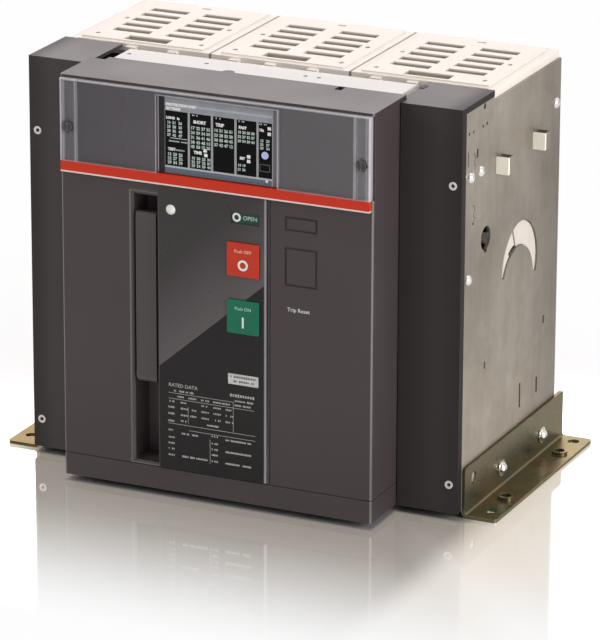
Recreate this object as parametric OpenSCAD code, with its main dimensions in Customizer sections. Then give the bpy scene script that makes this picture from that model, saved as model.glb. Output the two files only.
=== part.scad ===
// Three-pole low-voltage air circuit breaker, fixed mounting, on two floor angles.
// Millimetres. X runs to the right seen from the front, Y runs back, Z runs up.
// The origin lies on the floor, in the middle of the four plain fixing holes.

/* [Overall] */
// Width over the two steel side plates
body_w = 384; // [378:1:396]
// Height of the front cover's top above the floor
cover_top = 347; // [340:1:360]
// Width of the moulded front cover
cover_w = 276; // [270:1:280]
// Depth of the front cover from its face to its rear edge
cover_d = 62; // [58:1:66]
// Height of the front cover's lower edge above the floor
cover_bottom = 6; // [5:0.5:9]

/* [Side plates] */
// Thickness of the galvanised side plates
plate_t = 3; // [2.5:0.25:3]
// Length of the side plates from front to back
plate_len = 199.7; // [194:0.1:206]

/* [Floor angles] */
// Thickness of the passivated steel angles
foot_t = 3; // [2.5:0.5:4]
// Reach of the floor flange beyond the side plate
foot_reach = 30; // [28:1:36]
// Height of the upright flange
foot_h = 42.5; // [40:0.5:48]
// Length of each angle from front to back
foot_len = 212; // [206:1:216]
// Radius of the plain fixing holes in the floor flange
fix_hole_r = 5; // [4:0.5:6]
// Spacing of the plain fixing holes from front to back
fix_pitch = 181; // [176:1:186]
// Spacing of the threaded collars from front to back
collar_pitch = 118; // [110:1:124]

/* [Wings] */
// Distance of the wings' front face behind the cover's face
wing_setback = 49; // [46:1:50]
// Depth of the wings' top from front to back
wing_top_d = 65; // [58:1:66]

/* [Operating panel] */
// Width and height of the square push buttons
button_w = 28; // [24:1:29]
// How far a push button travels when pressed
button_travel = 3; // [2:0.5:4]
// Length of the charging lever
lever_len = 145; // [135:1:150]
// Width of the charging lever
lever_w = 18; // [17:0.5:20]
// Thickness of the charging lever
lever_t = 12; // [10:0.5:13]

/* [Arc chutes] */
// Height of the arc chute covers above the side plates
chute_h = 8; // [7:0.5:9]
// Number of vent slots along each column of a cover
slot_rows = 5; // [3:1:5]
// Width of one vent slot
slot_w = 34.5; // [28:0.5:36]
// Depth of one vent slot from front to back
slot_d = 9.5; // [7:0.5:11]
// Distance between two vent slots
slot_pitch = 17.45; // [16:0.05:17.5]

/* [Terminals] */
// Width of one rear terminal bar
term_w = 100; // [80:1:104]
// Thickness of one rear terminal bar
term_t = 15; // [10:1:20]

/* [Hidden] */
$fn = 64;
eps = 0.01;
wall = 3;
half_w = body_w / 2;
cover_x = cover_w / 2;

// heights that follow the cover's top
wing_drop = 3;
wing_top = cover_top - wing_drop;
plate_drop = 11;
plate_top = cover_top - plate_drop;
chute_top = plate_top + chute_h;
strip_drop = 78.8;
strip_z = cover_top - strip_drop;
strip_h = 8;
line_h = 1.3;
line_z = strip_z - line_h;
lid_drop = 2.4;
lid_z0 = strip_z + strip_h;
lid_z1 = cover_top - lid_drop;

// depths behind the cover's face
wing_return = 8;
plate_gap = 0.3;
plate_front = wing_setback + wing_return + plate_gap;
plate_rear = plate_front + plate_len;
plate_in = half_w - plate_t;
plate_bottom = cover_bottom;
trough_d = 50;
mech_rear = cover_d + trough_d;
pole_pitch = plate_in * 2 / 3;

// front cover
cover_r = 2.5;
lid_sink = 2;
skirt_h = 19.7;
groove_z = cover_bottom + skirt_h;
groove_w = 1;
panel_edge_x = 49;
joint_x = -81;
rim_c = 2.4;
rim_top = 5;
mouth_over = 2;
latch_x = 83;
latch_w = 6;
latch_d = 10;
latch_in = 5.5;
latch_y = cover_d - latch_in;
tab_x = -18;
tab_r = 5.5;
tab_gap = 0.5;
corner_w = 13.5;
corner_d = 8;
knock_x0 = 61.7;
knock_x1 = 89.6;
knock_drop = 14;
knock_top = strip_z - knock_drop;
knock_small_h = 11.8;
knock_step = 25.6;
knock_big_h = 32;
knock_w = 1.4;

// control panel
panel_x0 = -49.7;
panel_x1 = 47;
panel_gap = 0.9;
panel_z0 = groove_z + panel_gap;
panel_z1 = line_z - panel_gap;
panel_sink = 1.2;
panel_proud = 2;
panel_bevel = 2;
panel_edge_c = 0.5;
button_x = 26;
off_drop = 55;
off_z = strip_z - off_drop;
button_step = 48;
on_z = off_z - button_step;
button_proud = 1.2;
button_gap = 0.4;
button_r = 1;
button_depth = 10;
stem_r = 4;
stem_gap = 5;
flag_x0 = 14.9;
flag_w = 25.2;
flag_drop = 25.4;
flag_z = strip_z - flag_drop;
flag_h = 9.8;
flag_sink = 0.8;
spring_x0 = 12;
spring_w = 27.3;
spring_drop = 161.2;
spring_z = strip_z - spring_drop;
spring_h = 9.2;
spring_sink = 0.4;
dome_x = -38.4;
dome_drop = 21.6;
dome_z = strip_z - dome_drop;
dome_r = 4.2;
dome_h = 2.7;

// lever recess and lever
recess_x0 = -73.2;
recess_x1 = -51;
recess_foot = 2.3;
recess_z0 = groove_z + recess_foot;
recess_drop = 13.2;
recess_z1 = strip_z - recess_drop;
recess_d = 27;
mech_front = recess_d + wall;
stem_len = mech_front - button_depth - button_travel - stem_gap;
lever_x = (recess_x0 + recess_x1) / 2;
lever_face = 0.6;
grip_gap = 14.7;
lever_z1 = recess_z1 - grip_gap;
lever_z0 = lever_z1 - lever_len;
pivot_r = lever_t / 2;
pivot_y = lever_face + pivot_r;
pivot_z = lever_z0 + pivot_r;
pin_r = 3;
pin_gap = 0.05;
pin_bite = 1.5;
grip_d = 5;
grip_h = 9;
lever_c = 1.6;

// accent strip and lid
strip_proud = 4;
lid_wall = 1.5;
rim_gap = 2;
rim_x = cover_x - rim_gap;
band_w = 13.6;
band_x = rim_x - band_w;
lid_screw_in = 6.8;
lid_screw_x = rim_x - lid_screw_in;
lid_screw_drop = 39.6;
lid_screw_z = lid_z1 - lid_screw_drop;
lid_screw_r = 3.8;
lid_shank_r = 2.8;
lid_window = 0.6;
lid_screw_h = 0.8;
screw_slot = 1;
screw_slot_d = 0.56;

// display of the protection unit
disp_x0 = -49.8;
disp_x1 = 55.8;
disp_lift = 0.8;
disp_z0 = lid_z0 + disp_lift;
disp_h = 63;
disp_z1 = disp_z0 + disp_h;
disp_r = 1;
disp_proud = 1;
disp_rim = 1.2;
disp_rim_h = 0.6;
screen_foot = 6;
screen_z0 = disp_z0 + screen_foot;
screen_h = 45.5;
screen_z1 = screen_z0 + screen_h;
screen_sink = 0.6;
screen_edges = [-43.6, -22.5, -2.1, 18.5, 37.8, 50.6];
screen_last = len(screen_edges) - 1;
bar_w = 1.7;
key_x = 44.3;
key_up = 18.7;
key_z = screen_z0 + key_up;
key_r = 3;

// wings
wing_gap = 1;
wing_t = 3;
wing_lip = 5;
wing_bottom = cover_bottom;
wing_x0 = cover_x + wing_gap;
wing_screw_in = 7.5;
wing_screw_x = half_w - wing_screw_in;
wing_screw_foot = 24.6;
wing_screw_drop = 62.7;
wing_screw_z = [wing_bottom + wing_screw_foot, wing_top - wing_screw_drop];
wing_screw_r = 3.4;
wing_screw_h = 0.6;
shank_r = 1.7;
boss_r = 5;
front_flange = 34;

// mechanism housing
mech_in = 16;
mech_x = cover_x - mech_in;
mech_up = 8;
mech_bottom = cover_bottom + mech_up;
mech_drop = 6;
mech_top = plate_top - mech_drop;

// terminal cover on top, behind the front cover
tcover_in_left = 14;
tcover_x0 = -cover_x + tcover_in_left;
tcover_in_right = 7;
tcover_x1 = cover_x - tcover_in_right;
tcover_gap = 0.4;
tcover_y0 = cover_d + tcover_gap;
tcover_d = 36.6;
tcover_y1 = tcover_y0 + tcover_d;
tcover_drop = 2;
tcover_top = cover_top - tcover_drop;
tcover_t = 2.5;
tcover_edge = 2;
tcover_screws = [-118, -48, 40, 52];
tcover_screw_r = 2;
tcover_screw_y = tcover_y0 + 0.6 * tcover_d;
rail_in = 3.7;
rail_x = cover_x - rail_in;
tongue_gap = 0.3;
tongue_x = rail_x + tongue_gap;
rail_w = 2;
rail_d = 26;
rail_h = 7.5;

// auxiliary contacts in the trough before the arc chutes
aux_n = 9;
aux_w = 17;
aux_h = 7;
aux_gap = 1;
aux_edge = 2;
aux_bar_h = 2;
aux_y0 = tcover_y1 + aux_gap;
aux_y1 = mech_rear;
aux_hole_r = 2.5;
aux_hole_d = 3;
aux_span = 2 * mech_x - aux_w - 3 * aux_edge;

// poles
pole_front = mech_rear;
pole_setback = 21;
pole_rear = plate_rear - pole_setback;
pole_bottom = mech_bottom;
pole_gap = 0.4;
crank_back = 116.7;
crank_y = plate_front + crank_back;
crank_drop = 156;
crank_z = plate_top - crank_drop;
crank_slot_r = 38.3;
crank_over = 2.1;
crank_r = crank_slot_r + crank_over;
crank_pocket_gap = 3;
crank_pocket_r = crank_r + crank_pocket_gap;
crank_pocket_d = 14;
crank_t = 10;
hub_front = 3.2;
hub_y = crank_y - hub_front;
hub_low = 14.5;
hub_z = crank_z - hub_low;
hub_r = 32.3;
crescent_low = 182;
crescent_high = -22;
crank_low = 192;
crank_high = -32;
crank_sink = 1.6;
crank_gap = 0.5;
crank_slit_w = 2.8;
crank_slit_turn = 111.5;
notch_w = 3.6;
notch_low = 121;
notch_high = 97;

// arc chutes
chute_setback = 9;
chute_front = pole_front + chute_setback;
chute_rear_gap = 1;
chute_rear = plate_rear - chute_rear_gap;
chute_side = 8;
chute_end = 4;
chute_step = 1.5;
chute_gap = 0.3;
chute_over = 1.5;
slot_mid = 7.05;
slot_col_x = slot_w / 2 + slot_mid;
slot_start = 33.5;
slot_y0 = chute_front + slot_start;
slot_room = chute_rear - chute_end - slot_d - slot_y0;
rows = min(slot_rows, floor(slot_room / slot_pitch) + 1);
front_slot_w = 40;
front_slot_d = 13;
front_slot_in = 13.3;
front_slot_y = chute_front + front_slot_in;
grid_t = 2;
grid_side = 10;
grid_end = 6;
chute_screw_in = 15.5;
chute_screw_x = pole_pitch / 2 - chute_screw_in;
chute_screw_y0 = chute_front + 2 * chute_side;
chute_screw_step = 53;
chute_screw_r = 2.4;
chute_screw_d = 1;
oval_in = 12;
oval_w = 4;
hook_w = 9;
hook_d = 5;
hook_h = 5;
hook_x = [-44, -12, 26];
lug_w = 6;

// terminals
term_out = 9;
term_rear = plate_rear + term_out;
term_foot = 70;
term_drop = 78;
term_z = [pole_bottom + term_foot, plate_top - term_drop];
term_hole_r = 6.5;
term_hole_x = 32;
term_hole_in = 15;
term_hole_y = term_rear - term_hole_in;
term_gap = 2;
rear_flange = half_w - pole_pitch - term_w / 2 - term_gap;

// pegs on the side plates
peg_back = 62.2;
peg_step = 77.9;
peg_y = [plate_front + peg_back, plate_front + peg_back + peg_step];
peg_drop = 62.8;
peg_z = plate_top - peg_drop;
peg_w = 12;
peg_h = 14;
peg_out = 10.6;
peg_wall = 2.5;
peg_floor = 2;
strap_t = 1.2;

// floor angles
foot_gap = 0.7;
foot_front = plate_front + foot_gap;
foot_rear = foot_front + foot_len;
bend_r = 5;
corner_r = 3;
fix_back = 109.5;
fix_y = foot_front + fix_back;
fix_out = 18;
fix_x = half_w + fix_out;
fix_ys = [fix_y - fix_pitch / 2, fix_y + fix_pitch / 2];
collar_ys = [fix_y - collar_pitch / 2, fix_y + collar_pitch / 2];
collar_r = 6.5;
collar_bore_r = 4.2;
collar_h = 2.5;
bolt_back = 77;
bolt_step = 88;
bolt_y = [plate_front + bolt_back, plate_front + bolt_back + bolt_step];
bolt_z = 18.4;
bolt_r = 5.5;
bolt_h = 5;
washer_r = 7;
washer_t = 1;
foot_hole_back = 19.1;
foot_hole_y = plate_front + foot_hole_back;
foot_hole_z = 29.5;
foot_hole_r = 5.2;

// cut-outs of the side plates: distance behind the plate's front edge,
// distance below its top or above its foot, width, height
upper_slots = [[23, 35.4, 3.4, 7.6], [3.2, 35.6, 3, 12.4]];
lower_slots = [
  [44.5, 111, 3, 6.4], [171, 112, 3, 7],
  [121.6, 60.8, 3.4, 21.7], [158.3, 58.7, 3.4, 13.6]
];
upper_holes = [
  [41.6, 15.3, 1.6], [34, 15.7, 1.6], [14.5, 15.5, 1.5], [5.2, 15, 1.5], [15.7, 91.5, 1.4]
];
lower_dimples = [[53, 112, 2.6], [144.4, 72.6, 2.6]];
dimple_h = 0.6;
plate_screws = [[8.4, 51.7], [29, 51.6], [5.6, 135.8], [188.6, 36]];
plate_screw_r = 4.6;
plate_screw_h = 3.4;
rear_screw_drop = 40;
rear_screw_step = 128;
rear_screw_in = 6;
rear_screw_r = 5;
rear_screw_h = 3;
notch_back = 36.6;
notch_y = plate_front + notch_back;
notch_r = 2.6;
keyhole_back = 42.5;
keyhole_y = plate_front + keyhole_back;
keyhole_drop = 111;
keyhole_z = plate_top - keyhole_drop;
keyhole_r = 10;
keyhole_foot = 12;
keyhole_foot_w = 6;
disc_r = 4.5;
bridge_t = 1;
bridge_h = 3;
bridge_y = keyhole_r + 1;

plastic_dark = [0.29, 0.265, 0.265];
plastic_black = [0.22, 0.2, 0.2];
steel_grey = [0.62, 0.60, 0.56];
zinc_yellow = [0.5, 0.46, 0.3];
cream = [0.91, 0.89, 0.84];

// ---- helpers ----

// box from one corner to the opposite one
module box(a, b) {
  translate(a) cube([b[0] - a[0], b[1] - a[1], b[2] - a[2]]);
}

// rectangle with four round corners
module round_rect(x0, x1, y0, y1, r) {
  translate([x0 + r, y0]) square([x1 - x0 - 2 * r, y1 - y0]);
  translate([x0, y0 + r]) square([x1 - x0, y1 - y0 - 2 * r]);
  for (x = [x0 + r, x1 - r], y = [y0 + r, y1 - r]) translate([x, y]) circle(r);
}

// plate in the plane of the front face, from depth y0 to y1
module face_plate(y0, y1) {
  translate([0, y1, 0]) rotate([90, 0, 0]) linear_extrude(y1 - y0) children();
}

// cylinder along X, Y or Z from a start point
module rod_x(p, r, l) {
  translate(p) rotate([0, 90, 0]) cylinder(r = r, h = l);
}
module rod_y(p, r, l) {
  translate(p) rotate([-90, 0, 0]) cylinder(r = r, h = l);
}
module rod_z(p, r, l) {
  translate(p) cylinder(r = r, h = l);
}

// domed screw head of radius r and height h, standing up from z = 0
module dome_head(r, h) {
  big = (r * r + h * h) / (2 * h);
  intersection() {
    translate([0, 0, h - big]) sphere(big);
    cylinder(r = r + 1, h = h + 1);
  }
}

module on_left() {
  mirror([1, 0, 0]) children();
}

// the pieces are drawn from the cover's face at y = 0; this moves them to the
// middle of the fixing holes
module placed() {
  translate([0, -fix_y, 0]) children();
}

// ---- front cover, panel and lid ----

// bevelled mouth of the lever recess, mitred at its left, foot and top
module recess_bevel() {
  rise = rim_top * (rim_c + 1) / rim_c;
  intersection() {
    translate([0, 0, recess_z0 - rim_c - mouth_over])
      linear_extrude(recess_z1 - recess_z0 + rim_c + rise + 2 * mouth_over)
        polygon([[recess_x0, rim_c], [recess_x0 - rim_c - 1, -1],
                 [recess_x1, -1], [recess_x1, rim_c]]);
    translate([recess_x0 - rim_c - mouth_over, 0, 0]) rotate([90, 0, 90])
      linear_extrude(recess_x1 - recess_x0 + rim_c + 2 * mouth_over)
        polygon([[rim_c, recess_z0], [-1, recess_z0 - rim_c - 1],
                 [-1, recess_z1 + rise], [rim_c, recess_z1]]);
  }
}

// outline of a closed knock-out
module knockout(z1, h) {
  difference() {
    box([knock_x0, -1, z1 - h], [knock_x1, knock_w / 2, z1]);
    box([knock_x0 + knock_w, -2, z1 - h + knock_w],
        [knock_x1 - knock_w, knock_w, z1 - knock_w]);
  }
}

module front_cover() {
  placed() color(plastic_dark) difference() {
    union() {
      difference() {
        intersection() {
          translate([0, 0, cover_bottom]) linear_extrude(cover_top - cover_bottom)
            round_rect(-cover_x, cover_x, 0, cover_d + 2 * cover_r, cover_r);
          box([-cover_x, 0, cover_bottom], [cover_x, cover_d, cover_top]);
        }
        // hollow behind the face
        box([-cover_x + wall, wall + lid_sink, cover_bottom + wall],
            [cover_x - wall, cover_d + 1, cover_top - wall]);
      }
      // walls of the lever recess
      box([recess_x0 - wall, wall, recess_z0 - wall],
          [recess_x1 + wall, mech_front, recess_z1 + wall]);
      // half-round tab on the rear edge of the top
      rod_z([tab_x, cover_d - eps, cover_top - wall], tab_r, wall);
    }
    // lever recess
    box([recess_x0, -1, recess_z0], [recess_x1, recess_d, recess_z1]);
    recess_bevel();
    // seats of the lever's pin in both walls
    rod_x([recess_x0 - pin_bite, pivot_y, pivot_z], pin_r,
          recess_x1 - recess_x0 + 2 * pin_bite);
    // seat of the control panel
    box([panel_x0, -1, panel_z0], [panel_x1, panel_sink, panel_z1]);
    for (z = [off_z, on_z])
      box([button_x - button_w / 2 - button_gap, -1, z - button_w / 2 - button_gap],
          [button_x + button_w / 2 + button_gap, wall + lid_sink + 1,
           z + button_w / 2 + button_gap]);
    // seat of the lid
    box([-cover_x - 1, -1, lid_z0], [cover_x + 1, lid_sink, lid_z1]);
    // horizontal groove round the foot and upright groove beside the panel
    box([-cover_x - 1, -1, groove_z - groove_w], [cover_x + 1, groove_w, groove_z]);
    for (s = [-1, 1])
      box([s * cover_x - groove_w, -1, groove_z - groove_w],
          [s * cover_x + groove_w, cover_d + 1, groove_z]);
    box([panel_edge_x - groove_w, -1, groove_z], [panel_edge_x, groove_w, line_z]);
    // upright groove behind the lid
    box([joint_x - groove_w / 2, -1, lid_z0],
        [joint_x + groove_w / 2, lid_sink + groove_w / 2, lid_z1]);
    knockout(knock_top, knock_small_h);
    knockout(knock_top - knock_step, knock_big_h);
    // latch opening in the top
    box([latch_x - latch_w / 2, latch_y - latch_d / 2, cover_top - wall - 1],
        [latch_x + latch_w / 2, latch_y + latch_d / 2, cover_top + 1]);
    // open corner of the top, beside the terminal cover
    box([-cover_x - 1, cover_d - corner_d, cover_top - wall - 1],
        [-cover_x + corner_w, cover_d + 1, cover_top + 1]);
  }
}

module button_opening(z, extra) {
  w = button_w / 2 + extra;
  round_rect(button_x - w, button_x + w, z - w, z + w, button_r + extra);
}

module control_panel() {
  placed() color([0.16, 0.15, 0.15]) difference() {
    // glossy plate whose right edge is bevelled
    translate([0, 0, panel_z0]) linear_extrude(panel_z1 - panel_z0)
      polygon([[panel_x0, panel_sink], [panel_x0, -panel_proud + panel_edge_c],
               [panel_x0 + panel_edge_c, -panel_proud],
               [panel_x1 - panel_bevel, -panel_proud],
               [panel_x1, -panel_proud + panel_bevel], [panel_x1, panel_sink]]);
    face_plate(-panel_proud - 1, panel_sink + 1) {
      button_opening(off_z, button_gap);
      button_opening(on_z, button_gap);
      translate([flag_x0, flag_z]) square([flag_w, flag_h]);
      translate([spring_x0, spring_z]) square([spring_w, spring_h]);
    }
  }
}

module button(z) {
  face_plate(-panel_proud - button_proud, button_depth) button_opening(z, 0);
  rod_y([button_x, button_depth, z], stem_r, stem_len);
}

module push_off_button() {
  placed() color([0.82, 0.22, 0.14]) button(off_z);
}

module push_on_button() {
  placed() color([0.1, 0.42, 0.3]) button(on_z);
}

module contact_flag() {
  placed() color([0.08, 0.3, 0.22])
    box([flag_x0, -panel_proud + flag_sink, flag_z],
        [flag_x0 + flag_w, panel_sink, flag_z + flag_h]);
}

module spring_flag() {
  placed() color([0.75, 0.74, 0.74])
    box([spring_x0, -panel_proud + spring_sink, spring_z],
        [spring_x0 + spring_w, panel_sink, spring_z + spring_h]);
}

module status_dome() {
  placed() color([0.93, 0.92, 0.9]) translate([dome_x, -panel_proud, dome_z]) rotate([90, 0, 0])
    dome_head(dome_r, dome_h);
}

module charging_lever() {
  x0 = lever_x - lever_w / 2;
  d = lever_c * sqrt(2);
  placed() color([0.31, 0.29, 0.27]) difference() {
    union() {
      box([x0, lever_face, pivot_z], [x0 + lever_w, lever_face + lever_t, lever_z1]);
      rod_x([x0, pivot_y, pivot_z], pivot_r, lever_w);
    }
    // bevelled top edge and finger grip behind it
    translate([x0 - 1, lever_face, lever_z1]) rotate([45, 0, 0])
      translate([0, -d / 2, -d / 2]) cube([lever_w + 2, d, d]);
    box([x0 - 1, lever_face + lever_t - grip_d, lever_z1 - grip_h],
        [x0 + lever_w + 1, lever_face + lever_t + 1, lever_z1 + 1]);
    rod_x([x0 - 1, pivot_y, pivot_z], pin_r + pin_gap, lever_w + 2);
  }
}

module lever_pin() {
  placed() color(steel_grey)
    rod_x([recess_x0 - pin_bite, pivot_y, pivot_z], pin_r,
          recess_x1 - recess_x0 + 2 * pin_bite);
}

module accent_strip() {
  placed() color([0.81, 0.25, 0.17])
    box([-rim_x, -strip_proud, strip_z], [rim_x, 0, lid_z0]);
}

module accent_line() {
  placed() color([0.93, 0.9, 0.88])
    box([-rim_x, -strip_proud, line_z], [rim_x, 0, strip_z]);
}

module lid() {
  placed() color([0.8, 0.82, 0.85, 0.35]) difference() {
    union() {
      difference() {
        box([-rim_x, -strip_proud, lid_z0], [rim_x, lid_sink, lid_z1]);
        // open below, where the accent strip closes it
        box([-rim_x + lid_wall, -strip_proud + lid_wall, lid_z0 - 1],
            [rim_x - lid_wall, lid_sink + 1, lid_z1 - lid_wall]);
        // window in front of the display
        box([disp_x0 - lid_window, -strip_proud - 1, lid_z0 - 1],
            [disp_x1 + lid_window, 0, disp_z1 + lid_window]);
      }
      for (s = [-1, 1])
        box([s * band_x - lid_wall / 2, -strip_proud + lid_wall / 2, lid_z0],
            [s * band_x + lid_wall / 2, lid_sink, lid_z1]);
    }
    for (s = [-1, 1])
      rod_y([s * lid_screw_x, -strip_proud - 1, lid_screw_z], lid_shank_r,
            strip_proud + lid_sink + 2);
  }
}

module lid_screw_right() {
  y = -strip_proud - lid_screw_h;
  placed() color(steel_grey) difference() {
    union() {
      rod_y([lid_screw_x, y, lid_screw_z], lid_screw_r, lid_screw_h);
      rod_y([lid_screw_x, y + eps, lid_screw_z], lid_shank_r, lid_sink - y - eps);
    }
    box([lid_screw_x - screw_slot / 2, y - 1, lid_screw_z - lid_screw_r],
        [lid_screw_x + screw_slot / 2, y + screw_slot_d, lid_screw_z + lid_screw_r]);
  }
}

module lid_screw_left() {
  on_left() lid_screw_right();
}

module display_bezel() {
  placed() color([0.6, 0.64, 0.7]) difference() {
    union() {
      face_plate(-disp_proud, lid_sink)
        round_rect(disp_x0, disp_x1, disp_z0, disp_z1, disp_r);
      face_plate(-disp_proud - disp_rim_h, lid_sink) difference() {
        round_rect(disp_x0, disp_x1, disp_z0, disp_z1, disp_r);
        translate([disp_x0 + disp_rim, disp_z0 + disp_rim])
          square([disp_x1 - disp_x0 - 2 * disp_rim, disp_h - 2 * disp_rim]);
      }
    }
    for (i = [1 : screen_last])
      box([screen_edges[i - 1] + (i == 1 ? 0 : bar_w / 2), -2, screen_z0],
          [screen_edges[i] - (i == screen_last ? 0 : bar_w / 2), lid_sink + 1, screen_z1]);
    // the screen lies behind the bars
    box([screen_edges[0], -disp_proud + screen_sink, screen_z0],
        [screen_edges[screen_last], lid_sink + 1, screen_z1]);
  }
}

module display_screen() {
  placed() color([0.03, 0.03, 0.035]) difference() {
    box([screen_edges[0], -disp_proud + screen_sink, screen_z0],
        [screen_edges[screen_last], lid_sink, screen_z1]);
    rod_y([key_x, -2, key_z], key_r, 5);
  }
}

module display_key() {
  placed() color([0.5, 0.58, 0.8]) rod_y([key_x, -disp_proud, key_z], key_r, disp_proud + lid_sink);
}

// ---- wings ----

// shell of a wing, with its two screw bosses
module wing_shell() {
  difference() {
    union() {
      // front face, outer and inner return, top and its side lip
      box([wing_x0, wing_setback, wing_bottom], [half_w, wing_setback + wing_t, wing_top]);
      box([half_w - wing_t, wing_setback, wing_bottom],
          [half_w, wing_setback + wing_return, wing_top]);
      box([wing_x0, wing_setback, wing_bottom], [wing_x0 + wing_t, plate_front, wing_top]);
      box([wing_x0, wing_setback, wing_top - wing_t],
          [half_w, wing_setback + wing_top_d, wing_top]);
      box([half_w - wing_t, wing_setback, wing_top - wing_lip],
          [half_w, wing_setback + wing_top_d, wing_top]);
      for (z = wing_screw_z)
        rod_y([wing_screw_x, wing_setback + eps, z], boss_r,
              plate_front - wing_setback - eps);
    }
    for (z = wing_screw_z) {
      rod_y([wing_screw_x, wing_setback - 1, z], wing_screw_r, 2);
      rod_y([wing_screw_x, wing_setback - 1, z], shank_r, plate_front - wing_setback + 2);
    }
  }
}

module wing_right() {
  placed() color(plastic_black) union() {
    wing_shell();
    // tongue that closes the top beside the terminal cover
    box([tongue_x, tcover_y0, wing_top - wing_t],
        [wing_x0 + eps, wing_setback + wing_top_d, wing_top]);
  }
}

module wing_left() {
  on_left() placed() color(plastic_black) wing_shell();
}

module wing_screws_right() {
  placed() color(steel_grey) for (z = wing_screw_z)
    difference() {
      union() {
        rod_y([wing_screw_x, wing_setback - wing_screw_h, z], wing_screw_r,
              wing_screw_h + 1);
        rod_y([wing_screw_x, wing_setback, z], shank_r,
              plate_front - wing_setback + plate_t + 1);
      }
      rod_y([wing_screw_x, wing_setback - 1, z], shank_r, 1.6);
    }
}

module wing_screws_left() {
  on_left() wing_screws_right();
}

// ---- side plates, pegs and floor angles ----

// straight slot through the side plate
module plate_slot(y, z, w, h) {
  box([plate_in - 1, y - w / 2, z - h / 2], [half_w + 1, y + w / 2, z + h / 2]);
}

module plate_hole(y, z, r) {
  rod_x([plate_in - 1, y, z], r, plate_t + 2);
}

module plate_cuts() {
  for (s = upper_slots) plate_slot(plate_front + s[0], plate_top - s[1], s[2], s[3]);
  for (s = lower_slots) plate_slot(plate_front + s[0], plate_bottom + s[1], s[2], s[3]);
  for (h = upper_holes) plate_hole(plate_front + h[0], plate_top - h[1], h[2]);
  plate_hole(notch_y, plate_top, notch_r);
  // round opening with a narrow foot, round a disc
  difference() {
    union() {
      plate_hole(keyhole_y, keyhole_z, keyhole_r);
      box([plate_in - 1, keyhole_y - keyhole_foot_w / 2, keyhole_z - keyhole_foot],
          [half_w + 1, keyhole_y + keyhole_foot_w / 2, keyhole_z]);
    }
    rod_x([plate_in - 2, keyhole_y, keyhole_z], disc_r, plate_t + 4);
  }
  // crescent window of the crank
  crescent(plate_in - 1, plate_t + 2, 0);
}

// crescent between the window's round edge and the hub, as thick as t behind x,
// and smaller than the window by a gap all round
module crescent(x, t, gap) {
  difference() {
    rod_x([x, crank_y, crank_z], crank_slot_r - gap, t);
    rod_x([x - 1, hub_y, hub_z], hub_r + gap, t + 2);
    translate([x - 1, crank_y, crank_z + gap]) rotate([90, 0, 90])
      linear_extrude(t + 2) crescent_foot(crescent_low, crescent_high);
  }
}

// sector below the axis that closes the crescent: it starts at two angles
module crescent_foot(a0, a1) {
  r = 2 * crank_pocket_r;
  polygon([[0, 0], [r * cos(a0), r * sin(a0)], [-r, -r], [r, -r],
           [r * cos(a1), r * sin(a1)]]);
}

module side_plate_right() {
  placed() color(steel_grey) union() {
    difference() {
      union() {
        box([plate_in, plate_front, plate_bottom], [half_w, plate_rear, plate_top]);
        // raised edge below the lip of the wing
        box([plate_in, plate_front, plate_top - eps],
            [half_w, wing_setback + wing_top_d, wing_top - wing_lip - plate_gap]);
      }
      plate_cuts();
    }
    // front flange, which takes the wing's screws
    difference() {
      box([half_w - front_flange, plate_front, plate_bottom],
          [half_w - eps, plate_front + plate_t, plate_top]);
      for (z = wing_screw_z)
        rod_y([wing_screw_x, plate_front - 1, z], shank_r, plate_t + 2);
    }
    box([half_w - rear_flange, plate_rear - plate_t, plate_bottom],
        [half_w - eps, plate_rear, plate_top]);
    // bridge that carries the disc in the round opening
    box([plate_in, keyhole_y - bridge_y, keyhole_z - bridge_h / 2],
        [plate_in + bridge_t, keyhole_y + bridge_y, keyhole_z + bridge_h / 2]);
    // straps folded out round the pegs
    for (y = peg_y) {
      box([half_w + peg_out - strap_t, y + peg_wall, peg_z],
          [half_w + peg_out, y + peg_w, peg_z + peg_h]);
      box([half_w - eps, y + peg_w - strap_t, peg_z],
          [half_w + peg_out, y + peg_w, peg_z + peg_h]);
    }
    for (p = plate_screws)
      translate([half_w - eps, plate_front + p[0], plate_top - p[1]]) rotate([0, 90, 0])
        dome_head(plate_screw_r, plate_screw_h);
    for (p = lower_dimples)
      translate([half_w - eps, plate_front + p[0], plate_bottom + p[1]]) rotate([0, 90, 0])
        dome_head(p[2], dimple_h);
    for (k = [0 : 2])
      translate([half_w - rear_screw_in, plate_rear - eps,
                 plate_top - rear_screw_drop - k * rear_screw_step])
        rotate([-90, 0, 0]) dome_head(rear_screw_r, rear_screw_h);
  }
}

module side_plate_left() {
  on_left() side_plate_right();
}

module support_pegs_right() {
  placed() color(cream) for (y = peg_y) {
    box([half_w, y, peg_z], [half_w + peg_out, y + peg_wall, peg_z + peg_h]);
    box([half_w, y + peg_wall - eps, peg_z],
        [half_w + peg_out - strap_t, y + peg_w - strap_t, peg_z + peg_floor]);
  }
}

module support_pegs_left() {
  on_left() support_pegs_right();
}

// section of the floor angle, upright along y, with a round fold
module angle_section() {
  translate([0, bend_r]) square([foot_t, foot_h - bend_r]);
  translate([bend_r, 0]) square([foot_reach - bend_r, foot_t]);
  intersection() {
    square(bend_r);
    translate([bend_r, bend_r]) difference() {
      circle(bend_r);
      circle(bend_r - foot_t);
    }
  }
}

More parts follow.
